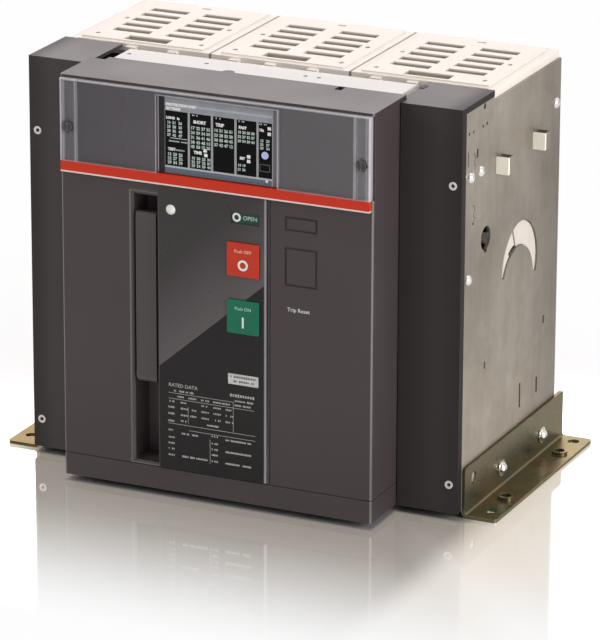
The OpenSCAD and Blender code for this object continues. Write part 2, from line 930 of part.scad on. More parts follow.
module floor_angle_right() {
  placed() color(zinc_yellow) difference() {
    union() {
      intersection() {
        translate([half_w, foot_rear, 0]) rotate([90, 0, 0])
          linear_extrude(foot_len) angle_section();
        // round corners of the floor flange
        translate([0, 0, -1]) linear_extrude(foot_h + 2)
          round_rect(half_w - 2 * corner_r, half_w + foot_reach, foot_front, foot_rear,
                     corner_r);
        // round corners of the upright flange
        translate([half_w - 1, 0, 0]) rotate([90, 0, 90]) linear_extrude(foot_reach + 2)
          round_rect(foot_front, foot_rear, -2 * corner_r, foot_h, corner_r);
      }
      for (y = collar_ys) rod_z([fix_x, y, eps], collar_r, foot_t + collar_h - eps);
    }
    for (y = fix_ys) rod_z([fix_x, y, -1], fix_hole_r, foot_t + 2);
    for (y = collar_ys) rod_z([fix_x, y, -1], collar_bore_r, foot_t + collar_h + 2);
    rod_x([half_w - 1, foot_hole_y, foot_hole_z], foot_hole_r, foot_t + 2);
  }
}

module floor_angle_left() {
  on_left() floor_angle_right();
}

module angle_bolts_right() {
  placed() color(steel_grey) for (y = bolt_y) {
    rod_x([half_w + foot_t, y, bolt_z], washer_r, washer_t);
    translate([half_w + foot_t, y, bolt_z]) rotate([0, 90, 0])
      dome_head(bolt_r, bolt_h);
  }
}

module angle_bolts_left() {
  on_left() angle_bolts_right();
}

// ---- mechanism, poles, arc chutes and terminals ----

module mechanism_housing() {
  placed() color([0.5, 0.5, 0.49])
    box([-mech_x, mech_front, mech_bottom], [mech_x, mech_rear, mech_top]);
}

module terminal_cover() {
  placed() color([0.9, 0.9, 0.89]) difference() {
    union() {
      box([tcover_x0, tcover_y0, tcover_top - tcover_t],
          [tcover_x1, tcover_y1, tcover_top]);
      // skirt that stands on the mechanism housing
      box([tcover_x0 + tcover_edge, tcover_y0 + tcover_edge, mech_top],
          [mech_x, tcover_y1 - tcover_edge, tcover_top - eps]);
      // upright rail at the right end
      box([tcover_x1 - 1, tcover_y0 + tcover_edge, tcover_top - 2 * tcover_t],
          [rail_x, tcover_y1 - tcover_edge, tcover_top - tcover_t]);
      box([rail_x - rail_w, tcover_y0 + tcover_edge, tcover_top - tcover_t - rail_h],
          [rail_x, tcover_y0 + tcover_edge + rail_d, tcover_top - tcover_t]);
    }
    for (x = tcover_screws)
      rod_z([x, tcover_screw_y, tcover_top - 1], tcover_screw_r, 2);
    rod_z([tab_x, cover_d, mech_top - 1], tab_r + tab_gap, cover_top - mech_top);
  }
}

module auxiliary_contacts() {
  placed() color([0.72, 0.71, 0.69]) difference() {
    union() {
      box([-mech_x + aux_edge, aux_y0 + aux_edge, mech_top],
          [mech_x - aux_edge, aux_y1, mech_top + aux_bar_h]);
      for (k = [0 : aux_n - 1])
        translate([(k / (aux_n - 1) - 0.5) * aux_span - aux_w / 2, aux_y0, mech_top])
          cube([aux_w, aux_y1 - aux_y0 - aux_edge, aux_h]);
    }
    for (k = [0 : aux_n - 1])
      rod_z([(k / (aux_n - 1) - 0.5) * aux_span, (aux_y0 + aux_y1 - aux_edge) / 2,
             mech_top + aux_h - aux_hole_d], aux_hole_r, aux_hole_d + 1);
  }
}

module pole(i) {
  cx = i * pole_pitch;
  placed() color([0.15, 0.13, 0.12]) difference() {
    box([cx - pole_pitch / 2 + (i == -1 ? 0 : pole_gap / 2), pole_front, pole_bottom],
        [cx + pole_pitch / 2 - (i == 1 ? 0 : pole_gap / 2), pole_rear, plate_top]);
    // pocket behind the side plate's window
    if (i != 0)
      rod_x([i > 0 ? plate_in - crank_pocket_d : -plate_in - 1, crank_y, crank_z],
            crank_pocket_r, crank_pocket_d + 1);
  }
}

module pole_left() {
  pole(-1);
}

module pole_centre() {
  pole(0);
}

module pole_right() {
  pole(1);
}

// left and right edge of the cover over pole i
function chute_x0(i) = i * pole_pitch - pole_pitch / 2 + chute_gap
  - (i == -1 ? chute_over : 0);
function chute_x1(i) = i * pole_pitch + pole_pitch / 2 - chute_gap
  + (i == 1 ? chute_over : 0);

module chute_slots(cx) {
  z0 = plate_top + grid_t;
  z1 = chute_top + 1;
  for (s = [-1, 1], k = [0 : rows - 1])
    box([cx + s * slot_col_x - slot_w / 2, slot_y0 + k * slot_pitch - slot_d / 2, z0],
        [cx + s * slot_col_x + slot_w / 2, slot_y0 + k * slot_pitch + slot_d / 2, z1]);
  box([cx - front_slot_w / 2, front_slot_y - front_slot_d / 2, z0],
      [cx + front_slot_w / 2, front_slot_y + front_slot_d / 2, z1]);
}

module chute(i) {
  cx = i * pole_pitch;
  x0 = chute_x0(i);
  x1 = chute_x1(i);
  placed() color(cream) difference() {
    union() {
      box([x0, chute_front, plate_top], [x1, chute_rear, chute_top - chute_step]);
      box([x0 + chute_side, chute_front + chute_end, plate_top],
          [x1 - chute_side, chute_rear - chute_end, chute_top]);
      // hooks along the front
      for (x = hook_x)
        box([cx + x, chute_front - hook_d, plate_top + eps],
            [cx + x + hook_w, chute_front + 1, plate_top + hook_h]);
      // lug on the outer front corner
      if (i != 0)
        box([i > 0 ? x1 - lug_w : x0, chute_front - hook_d, plate_top + eps],
            [i > 0 ? x1 : x0 + lug_w, chute_front + 1, chute_top - chute_step]);
    }
    chute_slots(cx);
    box([x0 + grid_side, chute_front + grid_end, plate_top - 1],
        [x1 - grid_side, chute_rear - grid_end, plate_top + grid_t]);
    for (s = [-1, 1], k = [0, 1])
      rod_z([cx + s * chute_screw_x, chute_screw_y0 + k * chute_screw_step,
             chute_top - chute_screw_d], chute_screw_r, 2);
    // oval mark at the rear
    for (s = [-1, 1])
      rod_z([cx + s * oval_w / 2, chute_rear - oval_in, chute_top - chute_screw_d],
            chute_screw_r, 2);
    box([cx - oval_w / 2, chute_rear - oval_in - chute_screw_r, chute_top - chute_screw_d],
        [cx + oval_w / 2, chute_rear - oval_in + chute_screw_r, chute_top + 1]);
  }
}

module arc_chute_left() {
  chute(-1);
}

module arc_chute_centre() {
  chute(0);
}

module arc_chute_right() {
  chute(1);
}

module grid(i) {
  placed() color([0.58, 0.56, 0.52])
    box([chute_x0(i) + grid_side, chute_front + grid_end, plate_top],
        [chute_x1(i) - grid_side, chute_rear - grid_end, plate_top + grid_t]);
}

module vent_grid_left() {
  grid(-1);
}

module vent_grid_centre() {
  grid(0);
}

module vent_grid_right() {
  grid(1);
}

module terminals(i) {
  cx = i * pole_pitch;
  placed() color([0.78, 0.77, 0.74]) for (z = term_z)
    difference() {
      box([cx - term_w / 2, pole_rear, z - term_t / 2],
          [cx + term_w / 2, term_rear, z + term_t / 2]);
      for (x = [-1, 1])
        rod_z([cx + x * term_hole_x, term_hole_y, z - term_t], term_hole_r, term_t * 2);
    }
}

module terminals_left() {
  terminals(-1);
}

module terminals_centre() {
  terminals(0);
}

module terminals_right() {
  terminals(1);
}

// sector of the hub over which the notch runs
module notch_sector() {
  r = 2 * hub_r;
  polygon([[0, 0], [r * cos(notch_high), r * sin(notch_high)],
           [r * cos(notch_low), r * sin(notch_low)]]);
}

module crank_right() {
  x0 = plate_in - crank_pocket_d;
  placed() color(cream) difference() {
    union() {
      difference() {
        rod_x([x0, crank_y, crank_z], crank_r, crank_t);
        translate([x0 - 1, crank_y, crank_z]) rotate([90, 0, 90])
          linear_extrude(crank_t + 2) crescent_foot(crank_low, crank_high);
      }
      // raised part that fills the window, almost flush with the plate
      crescent(x0 + crank_t - eps, half_w - crank_sink - x0 - crank_t + eps, crank_gap);
    }
    // slit across the raised part, and the notch where it ends
    translate([x0 + crank_t, crank_y, crank_z]) rotate([crank_slit_turn, 0, 0])
      translate([0, 0, -crank_slit_w / 2])
        cube([crank_pocket_d, crank_r + 1, crank_slit_w]);
    intersection() {
      rod_x([x0 - 1, hub_y, hub_z], hub_r + notch_w, crank_pocket_d + plate_t + 1);
      translate([x0 - 1, hub_y, hub_z]) rotate([90, 0, 90])
        linear_extrude(crank_pocket_d + plate_t + 1) notch_sector();
    }
  }
}

module crank_left() {
  on_left() crank_right();
}

front_cover();
control_panel();
lid();
accent_strip();
accent_line();
lid_screw_left();
lid_screw_right();
display_bezel();
display_screen();
display_key();
push_off_button();
push_on_button();
contact_flag();
spring_flag();
status_dome();
charging_lever();
lever_pin();
wing_left();
wing_right();
wing_screws_left();
wing_screws_right();
side_plate_left();
side_plate_right();
floor_angle_left();
floor_angle_right();
angle_bolts_left();
angle_bolts_right();
mechanism_housing();
terminal_cover();
auxiliary_contacts();
pole_left();
pole_centre();
pole_right();
arc_chute_left();
arc_chute_centre();
arc_chute_right();
vent_grid_left();
vent_grid_centre();
vent_grid_right();
terminals_left();
terminals_centre();
terminals_right();
crank_left();
crank_right();
support_pegs_left();
support_pegs_right();
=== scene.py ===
import math

import bmesh
import bpy
from mathutils import Matrix, Vector


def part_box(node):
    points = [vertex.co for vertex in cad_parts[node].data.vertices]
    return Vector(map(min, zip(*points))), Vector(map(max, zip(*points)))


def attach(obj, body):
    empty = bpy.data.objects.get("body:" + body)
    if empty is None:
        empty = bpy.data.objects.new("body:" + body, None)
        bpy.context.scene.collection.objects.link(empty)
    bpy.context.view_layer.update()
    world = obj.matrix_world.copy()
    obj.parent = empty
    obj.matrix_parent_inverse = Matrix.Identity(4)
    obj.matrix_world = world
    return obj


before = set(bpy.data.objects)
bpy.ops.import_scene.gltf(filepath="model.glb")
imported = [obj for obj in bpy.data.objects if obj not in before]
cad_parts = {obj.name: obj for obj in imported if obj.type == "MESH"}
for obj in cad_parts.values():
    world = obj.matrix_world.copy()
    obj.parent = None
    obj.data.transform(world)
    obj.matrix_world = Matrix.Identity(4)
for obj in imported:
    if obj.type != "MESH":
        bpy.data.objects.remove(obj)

bl_info = {
    "name": "Air Circuit Breaker",
    "version": (1, 0, 0),
    "blender": (4, 5, 0),
    "location": "3D View > Sidebar > Breaker",
    "description": "Finishes, prints and small fittings of a fixed air circuit breaker",
    "category": "Object",
}

MM = 0.001
QUARTER_TURN = math.pi / 2
# turns of a round fitting that lies flat, or looks to the front or to a side
FLAT = (0.0, 0.0, 0.0)
TO_FRONT = (QUARTER_TURN, 0.0, 0.0)
TO_SIDE = (0.0, QUARTER_TURN, 0.0)
# how strongly the surfaces bend light
PLASTIC_IOR = 1.48
METAL_IOR = 1.5
LID_IOR = 1.49
# where nearly all values of a noise lie
NOISE_RANGE = (0.3, 0.7)
SIDES = ("left", "right")
POLES = ("left", "centre", "right")

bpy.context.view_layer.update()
COVER_LOW, COVER_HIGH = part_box("front_cover")
FACE = COVER_LOW.y

# upright rectangles on the cover's face: left, right, foot and top, in millimetres
RECESS_MOUTH = (-75.6, -48.6, 26.3, 257.4)
KNOCK_OUTS = ((61.7, 89.6, 242.4, 254.2), (61.7, 89.6, 196.6, 228.6))

# tones that lie beside a piece's main colour, as they are seen.
# The lit corners, mouth and recess, the panel's bevel and rim, and the bezel's sill and
# outlines are painted highlights and painted light; the cover's foot, the wings' sides, the
# right wing and the chutes' slots are painted shade; the edge tones of the sheet, the angles
# and the plating are partly scuffing and partly a painted highlight. The rest are outlines,
# joints, margins, bars, the bezel's foot, the angles' brown and grey, stains, gloss and the
# lid's tints.
LIT_CORNER = (0.52, 0.50, 0.48)
LIT_MOUTH = (0.46, 0.44, 0.44)
LIT_RECESS = (0.42, 0.37, 0.38)
KNOCK_OUT_LINE = (0.19, 0.15, 0.17)
COVER_FOOT_SHADE = (0.19, 0.165, 0.165)
WING_SIDE_SHADE = (0.10, 0.09, 0.09)
WING_SHADE = (0.10, 0.085, 0.09)
SLOT_SHADE = (0.52, 0.48, 0.43)
CHUTE_JOINT = (0.36, 0.32, 0.30)
PANEL_BEVEL_HIGHLIGHT = (0.52, 0.50, 0.52)
PANEL_JOINT = (0.08, 0.07, 0.07)
PANEL_RIM_HIGHLIGHT = (0.40, 0.38, 0.39)
BEZEL_FOOT = (0.37, 0.40, 0.45)
BEZEL_SILL_HIGHLIGHT = (0.68, 0.70, 0.72)
BEZEL_MARGIN = (0.09, 0.085, 0.095)
BEZEL_OUTLINE = (0.66, 0.63, 0.65)
BEZEL_BARS = (0.60, 0.60, 0.61)
SHEET_STAIN = (0.42, 0.37, 0.31)
SHEET_EDGE = (0.74, 0.72, 0.68)
ANGLE_BROWN = (0.41, 0.32, 0.17)
ANGLE_GREY = (0.39, 0.40, 0.39)
ANGLE_EDGE = (0.85, 0.80, 0.62)
ANGLE_GLOSS = (1.0, 0.96, 0.86)
PLATED_EDGE = (0.93, 0.92, 0.90)
LID_CLEAR = (0.97, 0.97, 0.98)
LID_STAR = (0.30, 0.26, 0.28)


# ---- node trees ----


def find_socket(sockets, key):
    """The socket with this place, identifier or name."""
    if isinstance(key, int):
        return sockets[key]
    for socket in sockets:
        if socket.identifier == key:
            return socket
    return sockets[key]


class Tree:
    """Builds a node tree in short lines."""

    def __init__(self, tree):
        self.tree = tree

    def add(self, kind, inputs=None, **settings):
        node = self.tree.nodes.new(kind)
        for name, value in settings.items():
            setattr(node, name, value)
        for key, value in (inputs or {}).items():
            self.feed(node, key, value)
        return node

    def feed(self, node, key, value):
        socket = find_socket(node.inputs, key)
        if isinstance(value, bpy.types.NodeSocket):
            self.tree.links.new(value, socket)
        else:
            socket.default_value = value

    def out(self, kind, inputs=None, output=0, **settings):
        node = self.add(kind, inputs, **settings)
        return find_socket(node.outputs, output)

    def math(self, operation, a, b=0.0, clamp=False):
        return self.out("ShaderNodeMath", {0: a, 1: b}, operation=operation, use_clamp=clamp)

    def product(self, first, *others):
        """The product of sockets and numbers."""
        for other in others:
            first = self.math("MULTIPLY", first, other)
        return first

    def mix(self, share, a, b, blend="MIX"):
        """The first colour at a share of 0 and the second at 1."""
        return self.out(
            "ShaderNodeMix",
            {"Factor_Float": share, "A_Color": a, "B_Color": b},
            "Result_Color",
            data_type="RGBA",
            blend_type=blend,
        )

    def ramp(self, value, low, high, to_low=0.0, to_high=1.0, smooth=False):
        """A value between two others turned into its place between two results."""
        return self.out(
            "ShaderNodeMapRange",
            {
                "Value": value,
                "From Min": low,
                "From Max": high,
                "To Min": to_low,
                "To Max": to_high,
            },
            interpolation_type="SMOOTHSTEP" if smooth else "LINEAR",
        )

    def grey(self, value):
        return self.out("ShaderNodeCombineColor", {0: value, 1: value, 2: value})

    def noise(self, place, size, detail=3.0, roughness=0.55, stretch=None):
        """A noise whose clouds are about the given size."""
        if stretch:
            place = self.out("ShaderNodeMapping", {"Vector": place, "Scale": stretch})
        return self.out(
            "ShaderNodeTexNoise",
            {
                "Vector": place,
                "Scale": 1.0 / size,
                "Detail": detail,
                "Roughness": roughness,
            },
            "Fac",
        )


def linear(colour):
    """A colour given as it is seen, as the shaders take it."""
    values = [c / 12.92 if c <= 0.04045 else ((c + 0.055) / 1.055) ** 2.4 for c in colour[:3]]
    return (*values, 1.0)


def shade(colour, factor):
    """A colour made darker or paler, as it is seen."""
    return tuple(max(0.0, min(1.0, c * factor)) for c in colour[:3])


class Finish:
    """A material of one Principled shader, with its pattern on the piece's own place."""

    def __init__(self, name):
        self.material = bpy.data.materials.new(name)
        self.material.use_nodes = True
        self.t = Tree(self.material.node_tree)
        self.t.tree.nodes.clear()
        self.output = self.t.add("ShaderNodeOutputMaterial")
        self.shader = self.t.add("ShaderNodeBsdfPrincipled")
        self.show(self.shader.outputs[0])
        self.place = self.t.out("ShaderNodeTexCoord", output="Object")

    def show(self, surface):
        """Makes a shader the one that the material shows."""
        self.t.tree.links.new(surface, self.output.inputs["Surface"])

    def set(self, **values):
        """Sets or links inputs of the Principled shader."""
        for name, value in values.items():
            self.t.feed(self.shader, name.replace("_", " "), value)

    def rough(self, pattern, low, high):
        """Roughness that follows a noise from one value to another."""
        self.set(Roughness=self.t.ramp(pattern, *NOISE_RANGE, low, high))

    def axes(self):
        """Place across, along and up, as three sockets."""
        split = self.t.add("ShaderNodeSeparateXYZ", {0: self.place})
        return split.outputs[0], split.outputs[1], split.outputs[2]

    def tones(self, share, colour, low, high):
        """A colour between a darker and a paler tone of itself."""
        return self.t.mix(share, linear(shade(colour, low)), linear(shade(colour, high)))

    def paint(self, base, tone, *shares):
        """The base with a tone laid over it, as far as the product of the shares."""
        return self.t.mix(self.t.product(*shares), base, linear(tone))

    def edge(self, width, strength):
        """1 on a corner and 0 on a flat, from how the shading turns over a small bevel."""
        soft = self.t.out("ShaderNodeBevel", {"Radius": width}, "Normal", samples=4)
        hard = self.t.out("ShaderNodeNewGeometry", output="Normal")
        turn = self.t.out(
            "ShaderNodeVectorMath", {0: soft, 1: hard}, "Value", operation="DOT_PRODUCT"
        )
        return self.t.math("MULTIPLY", self.t.math("SUBTRACT", 1.0, turn), strength, True)

    def worn_and_lit(self, width, strength, size, detail):
        """Corners that are scuffed in places and carry a painted highlight there, with the size of
        those places.
        """
        patches = self.t.noise(self.place, size, detail)
        return self.t.math("MULTIPLY", self.edge(width, strength), patches, True)

    def band(self, value, low, high, soft=0.2 * MM):
        """1 where a value lies between two others, and 0 elsewhere."""
        rise = self.t.ramp(value, low - soft, low + soft)
        fall = self.t.ramp(value, high - soft, high + soft, 1.0, 0.0)
        return self.t.product(rise, fall)

    def outline(self, x, z, box, outward, inward):
        """1 along the outline of an upright rectangle, all in millimetres."""
        x0, x1, z0, z1 = (value * MM for value in box)
        grow, shrink = outward * MM, inward * MM
        outer = self.t.product(
            self.band(x, x0 - grow, x1 + grow), self.band(z, z0 - grow, z1 + grow)
        )
        inner = self.t.product(
            self.band(x, x0 + shrink, x1 - shrink), self.band(z, z0 + shrink, z1 - shrink)
        )
        return self.t.math("SUBTRACT", outer, inner, True)

    def bump(self, height, depth):
        """Relief of the given depth that follows a pattern."""
        inputs = {"Height": height, "Distance": depth, "Strength": 1.0}
        self.t.feed(self.shader, "Normal", self.t.out("ShaderNodeBump", inputs))


def moulded(name, colour, roughness, patch=60, grain=0.6, depth=0.02,
            worn_and_lit_tone=1.5, contrast=0.08, worn_and_lit_strength=6.0, shine=0.5, detail=None):
    """Moulded plastic: slow tone changes, a fine grain and paler edges, partly scuffed and partly
    a painted highlight.

    The size of the patches, the grain's size and its depth are in millimetres.
    """
    f = Finish(name)
    tone = f.t.noise(f.place, patch * MM, 4.0)
    base = f.tones(tone, colour, 1 - contrast, 1 + contrast)
    # paler edges: partly scuffing, partly a painted highlight
    base = f.paint(base, shade(colour, worn_and_lit_tone), f.worn_and_lit(0.7 * MM, worn_and_lit_strength, 4 * MM, 3.0))
    f.set(Specular_IOR_Level=shine, IOR=PLASTIC_IOR)
    if detail:
        base = detail(f, base)
    f.set(Base_Color=base)
    f.rough(tone, roughness - 0.04, roughness + 0.04)
    f.bump(f.t.noise(f.place, grain * MM, 2.0), depth * MM)
    return f.material


def cover_detail(f, base):
    """Painted highlights on the front corners and round the recess mouth, painted light inside the
    recess, dark outlines of the knock-outs, and painted shade that darkens the foot.
    """
    t = f.t
    x, y, z = f.axes()
    front = t.ramp(y, FACE + 1 * MM, FACE + 2 * MM, 1.0, 0.0)
    corner = f.band(t.math("ABSOLUTE", x), COVER_HIGH.x - 1.6 * MM, COVER_HIGH.x - 0.4 * MM)
    base = f.paint(base, LIT_CORNER, corner, front, 0.8)
    knock = t.math("MAXIMUM", *(f.outline(x, z, box, 0.5, 1.9) for box in KNOCK_OUTS))
    base = f.paint(base, KNOCK_OUT_LINE, knock, front, 0.75)
    mouth = f.outline(x, z, RECESS_MOUTH, 0.9, 0.3)
    base = f.paint(base, LIT_MOUTH, mouth, front, 0.7)
    left, right, foot, top = (value * MM for value in RECESS_MOUTH)
    inside = t.product(
        f.band(x, left + 1.1 * MM, right - 1.4 * MM),
        t.ramp(y, FACE + 4 * MM, FACE + 10 * MM),
        f.band(z, foot + 0.2 * MM, top - 1.4 * MM),
    )
    base = f.paint(base, LIT_RECESS, inside, 0.7)
    # painted shade: the cover darker towards its foot
    low = t.ramp(z, COVER_LOW.z + 18 * MM, COVER_LOW.z + 120 * MM, 0.35, 0.0, smooth=True)
    return f.paint(base, COVER_FOOT_SHADE, low)


def wing_detail(f, base):
    """Wings: painted shade on the outer sides and on a darker right wing, and tops that shine less
    outwards.
    """
    t = f.t
    x, _, _ = f.axes()
    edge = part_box("wing_right")[1].x
    far = t.math("ABSOLUTE", x)
    # painted shade on the outer sides, and on the right wing, which the cover shades
    base = f.paint(base, WING_SIDE_SHADE, t.ramp(far, edge - 0.6 * MM, edge - 0.2 * MM, 0.0, 0.6))
    base = f.paint(base, WING_SHADE, t.ramp(x, 0.0, 100 * MM), 0.3)
    shine = f.shader.inputs["Specular IOR Level"].default_value
    right = t.ramp(x, 0.0, 100 * MM, shine, 0.72 * shine)
    fall = t.ramp(far, edge - 22 * MM, edge - 2 * MM, 1.0, 0.25, smooth=True)
    f.set(Specular_IOR_Level=t.product(right, fall))
    return base


def chute_detail(f, base):
    """Chutes: shaded slots, and dark joints between the three."""
    t = f.t
    x, y, z = f.axes()
    low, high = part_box("vent_grid_centre")
    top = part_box("arc_chute_centre")[1]
    half_pitch = (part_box("vent_grid_right")[1].x - high.x) / 2
    across = t.out("ShaderNodeMath", {0: x, 1: half_pitch, 2: -half_pitch}, operation="WRAP")
    slot = t.product(
        t.ramp(t.math("ABSOLUTE", across), high.x, high.x + 1 * MM, 1.0, 0.0),
        f.band(y, low.y - 1 * MM, high.y),
        t.ramp(z, top.z - 1.6 * MM, top.z - 0.6 * MM, 0.8, 0.0),
    )
    base = f.paint(base, SLOT_SHADE, slot)
    joint = t.math("ABSOLUTE", t.math("SUBTRACT", t.math("ABSOLUTE", x), top.x))
    return f.paint(base, CHUTE_JOINT, t.ramp(joint, 0.8 * MM, 1.4 * MM, 0.7, 0.0))


def printed(name, colour, roughness=0.45):
    """Printing ink, a little uneven."""
    f = Finish(name)
    tone = f.t.noise(f.place, 2 * MM, 2.0)
    f.set(Base_Color=f.tones(tone, colour, 0.93, 1.04), Roughness=roughness)
    f.bump(tone, 0.01 * MM)
    return f.material


def glossy_panel(colour_high, colour_low):
    """Glossy plate in two tones that meet along a slanting line, with painted highlights on its
    right bevel and its left rim.
    """
    slant, meeting, bottom, top = 0.8633, 155.8 * MM, 150 * MM, 238 * MM
    f = Finish("glossy_panel")
    t = f.t
    x, _, z = f.axes()
    height = t.math("SUBTRACT", z, t.math("MULTIPLY", x, slant))
    high = t.ramp(height, meeting - 0.2 * MM, meeting + 0.2 * MM, smooth=True)
    fade = t.grey(t.ramp(height, bottom, top, 2.75, 1.08))
    upper = t.mix(1.0, linear(colour_high), fade, "MULTIPLY")
    base = t.mix(high, linear(colour_low), upper)
    left, right = (corner.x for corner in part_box("control_panel"))
    # painted highlights on the right bevel and the left rim, and a dark joint beside the bevel
    base = f.paint(base, PANEL_BEVEL_HIGHLIGHT, f.band(x, right - 2.8 * MM, right - 1.1 * MM))
    base = f.paint(base, PANEL_JOINT, f.band(x, right - 1.1 * MM, right + 1 * MM))
    base = f.paint(base, PANEL_RIM_HIGHLIGHT, f.band(x, left - 1 * MM, left + 0.6 * MM), 0.5)
    haze = t.noise(f.place, 30 * MM, 3.0)
    f.set(Base_Color=base, Specular_IOR_Level=0.25, IOR=PLASTIC_IOR)
    f.rough(haze, 0.27, 0.33)
    f.bump(t.noise(f.place, 20 * MM, 2.0), 0.002 * MM)
    return f.material


def display_frame(colour):
    """Frame of the display: dark margins, a pale band above, a painted highlight along the sill
    and thin lit outlines.
    """
    f = Finish("bezel_plastic")
    t = f.t
    x, _, z = f.axes()
    low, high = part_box("display_bezel")
    film_low, film_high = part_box("display_screen")
    sill = film_low.z - 1.4 * MM
    cloud = t.noise(f.place, 12 * MM, 3.0)
    base = f.tones(cloud, colour, 0.84, 1.1)
    stripe = f.band(z, film_high.z + 4.5 * MM, film_high.z + 6.2 * MM)
    base = f.paint(base, shade(colour, 1.25), stripe, 0.6)
    base = f.paint(base, BEZEL_FOOT, f.band(z, low.z, sill))
    # painted highlight along the sill under the film
    base = f.paint(base, BEZEL_SILL_HIGHLIGHT, f.band(z, sill, film_low.z))
    base = f.paint(base, shade(colour, 0.72), f.band(x, film_high.x, high.x))
    base = f.paint(base, BEZEL_MARGIN, f.band(x, low.x, film_low.x))
    outline = t.math(
        "MAXIMUM",
        f.band(x, low.x - 1 * MM, low.x + 1.1 * MM),
        f.band(x, high.x - 1 * MM, high.x + 1 * MM),
    )
    beside_film = f.band(x, film_high.x - 0.3 * MM, film_high.x + 0.8 * MM)
    base = f.paint(base, BEZEL_OUTLINE, t.math("MAXIMUM", outline, beside_film), 0.85)
    bars = (f.band(x, film_low.x, film_high.x), f.band(z, film_low.z, film_high.z))
    base = f.paint(base, BEZEL_BARS, *bars)
    f.set(Base_Color=base, Specular_IOR_Level=0.35, IOR=PLASTIC_IOR)
    f.rough(cloud, 0.3, 0.42)
    f.bump(t.noise(f.place, 1 * MM, 2.0), 0.01 * MM)
    return f.material


def galvanised(name, colour):
    """Zinc-coated sheet: soft spangles, rolled streaks and warm stains, paler edges that are
    partly scuffed and partly a painted highlight, and painted light and shade over the plate.
    """
    f = Finish(name)
    t = f.t
    spangle = t.out("ShaderNodeTexVoronoi", {"Vector": f.place, "Scale": 1 / (11 * MM)}, "Color")
    spangle = t.out("ShaderNodeSeparateColor", {0: spangle}, 0)
    cloud = t.noise(f.place, 50 * MM, 5.0, 0.6)
    streak = t.noise(f.place, 20 * MM, 3.0, 0.5, stretch=(1.0, 2.2, 0.3))
    tone = t.math("ADD", t.product(cloud, 0.68), t.product(streak, 0.26))
    tone = t.math("ADD", tone, t.product(spangle, 0.06))
    base = f.tones(t.ramp(tone, *NOISE_RANGE), colour, 0.88, 1.08)
    stain = t.ramp(t.noise(f.place, 110 * MM, 3.0), 0.5, 0.75)
    base = f.paint(base, SHEET_STAIN, stain, 0.4)
    # paler edges: partly scuffing, partly a painted highlight
    base = f.paint(base, SHEET_EDGE, f.worn_and_lit(0.7 * MM, 5.0, 3 * MM, 2.0))
    # painted light and shade: darker towards the rear, paler at the foot and the top
    _, y, z = f.axes()
    low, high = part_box("side_plate_right")
    middle_y, upper_z = low.y + 0.5 * (high.y - low.y), low.z + 0.6 * (high.z - low.z)
    painted_light_level = t.product(
        t.ramp(y, middle_y, high.y, 1.0, 0.66, smooth=True),
        t.ramp(z, low.z, upper_z, 1.5, 1.0, smooth=True),
        t.ramp(z, upper_z, high.z, 1.0, 1.24, smooth=True),
    )
    base = t.mix(1.0, base, t.grey(painted_light_level), "MULTIPLY")
    f.set(Base_Color=base, Metallic=0.55, IOR=METAL_IOR)
    f.rough(tone, 0.52, 0.42)
    grain = t.product(t.noise(f.place, 1.2 * MM, 2.0), 0.2)
    f.bump(t.math("ADD", cloud, grain), 0.12 * MM)
    return f.material


def passivated(name, colour, second, third, fourth):
    """Yellow passivated zinc: olive and straw with green and rose blushes, and paler edges that
    are partly scuffed and partly a painted highlight.
    """
    f = Finish(name)
    t = f.t
    cloud = t.noise(f.place, 35 * MM, 4.0, 0.6)
    blush = t.noise(f.place, 55 * MM, 2.0, 0.5)
    rose = t.noise(f.place, 42 * MM, 2.0, 0.5, stretch=(1.0, 0.8, 1.2))
    base = t.mix(t.ramp(cloud, 0.35, 0.65), linear(colour), linear(second))
    base = f.paint(base, third, t.ramp(blush, 0.46, 0.62), 0.75)
    base = f.paint(base, fourth, t.ramp(rose, 0.52, 0.66), 0.5)
    x, _, z = f.axes()
    low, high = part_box("floor_angle_right")
    base = f.paint(base, ANGLE_BROWN, t.ramp(x, -100 * MM, 100 * MM, 0.6, 0.0))
    base = f.paint(base, ANGLE_GREY, t.ramp(z, low.z + 3 * MM, low.z + 6 * MM, 0.0, 0.45))
    rim = t.ramp(z, high.z - 1.2 * MM, high.z - 0.4 * MM, 0.0, 0.6)
    base = f.paint(base, shade(colour, 0.45), rim)
    # paler edges: partly scuffing, partly a painted highlight
    base = f.paint(base, ANGLE_EDGE, f.worn_and_lit(0.6 * MM, 5.0, 4 * MM, 2.0))
    f.set(Base_Color=base, Metallic=0.85, IOR=METAL_IOR, Specular_Tint=linear(ANGLE_GLOSS))
    f.rough(cloud, 0.22, 0.36)
    f.bump(t.noise(f.place, 1.5 * MM, 3.0), 0.03 * MM)
    return f.material


def plated(name, colour, roughness=0.25, metallic=1.0):
    """Plated steel or copper with fine turning marks and paler edges, partly scuffed and partly a
    painted highlight.
    """
    f = Finish(name)
    cloud = f.t.noise(f.place, 8 * MM, 3.0)
    base = f.tones(cloud, colour, 0.88, 1.06)
    # paler edges: partly scuffing, partly a painted highlight
    base = f.paint(base, PLATED_EDGE, f.edge(0.4 * MM, 4.0), 0.6)
    f.set(Base_Color=base, Metallic=metallic, IOR=METAL_IOR)
    f.rough(cloud, roughness - 0.05, roughness + 0.08)
    f.bump(f.t.noise(f.place, 0.6 * MM, 2.0), 0.012 * MM)
    return f.material


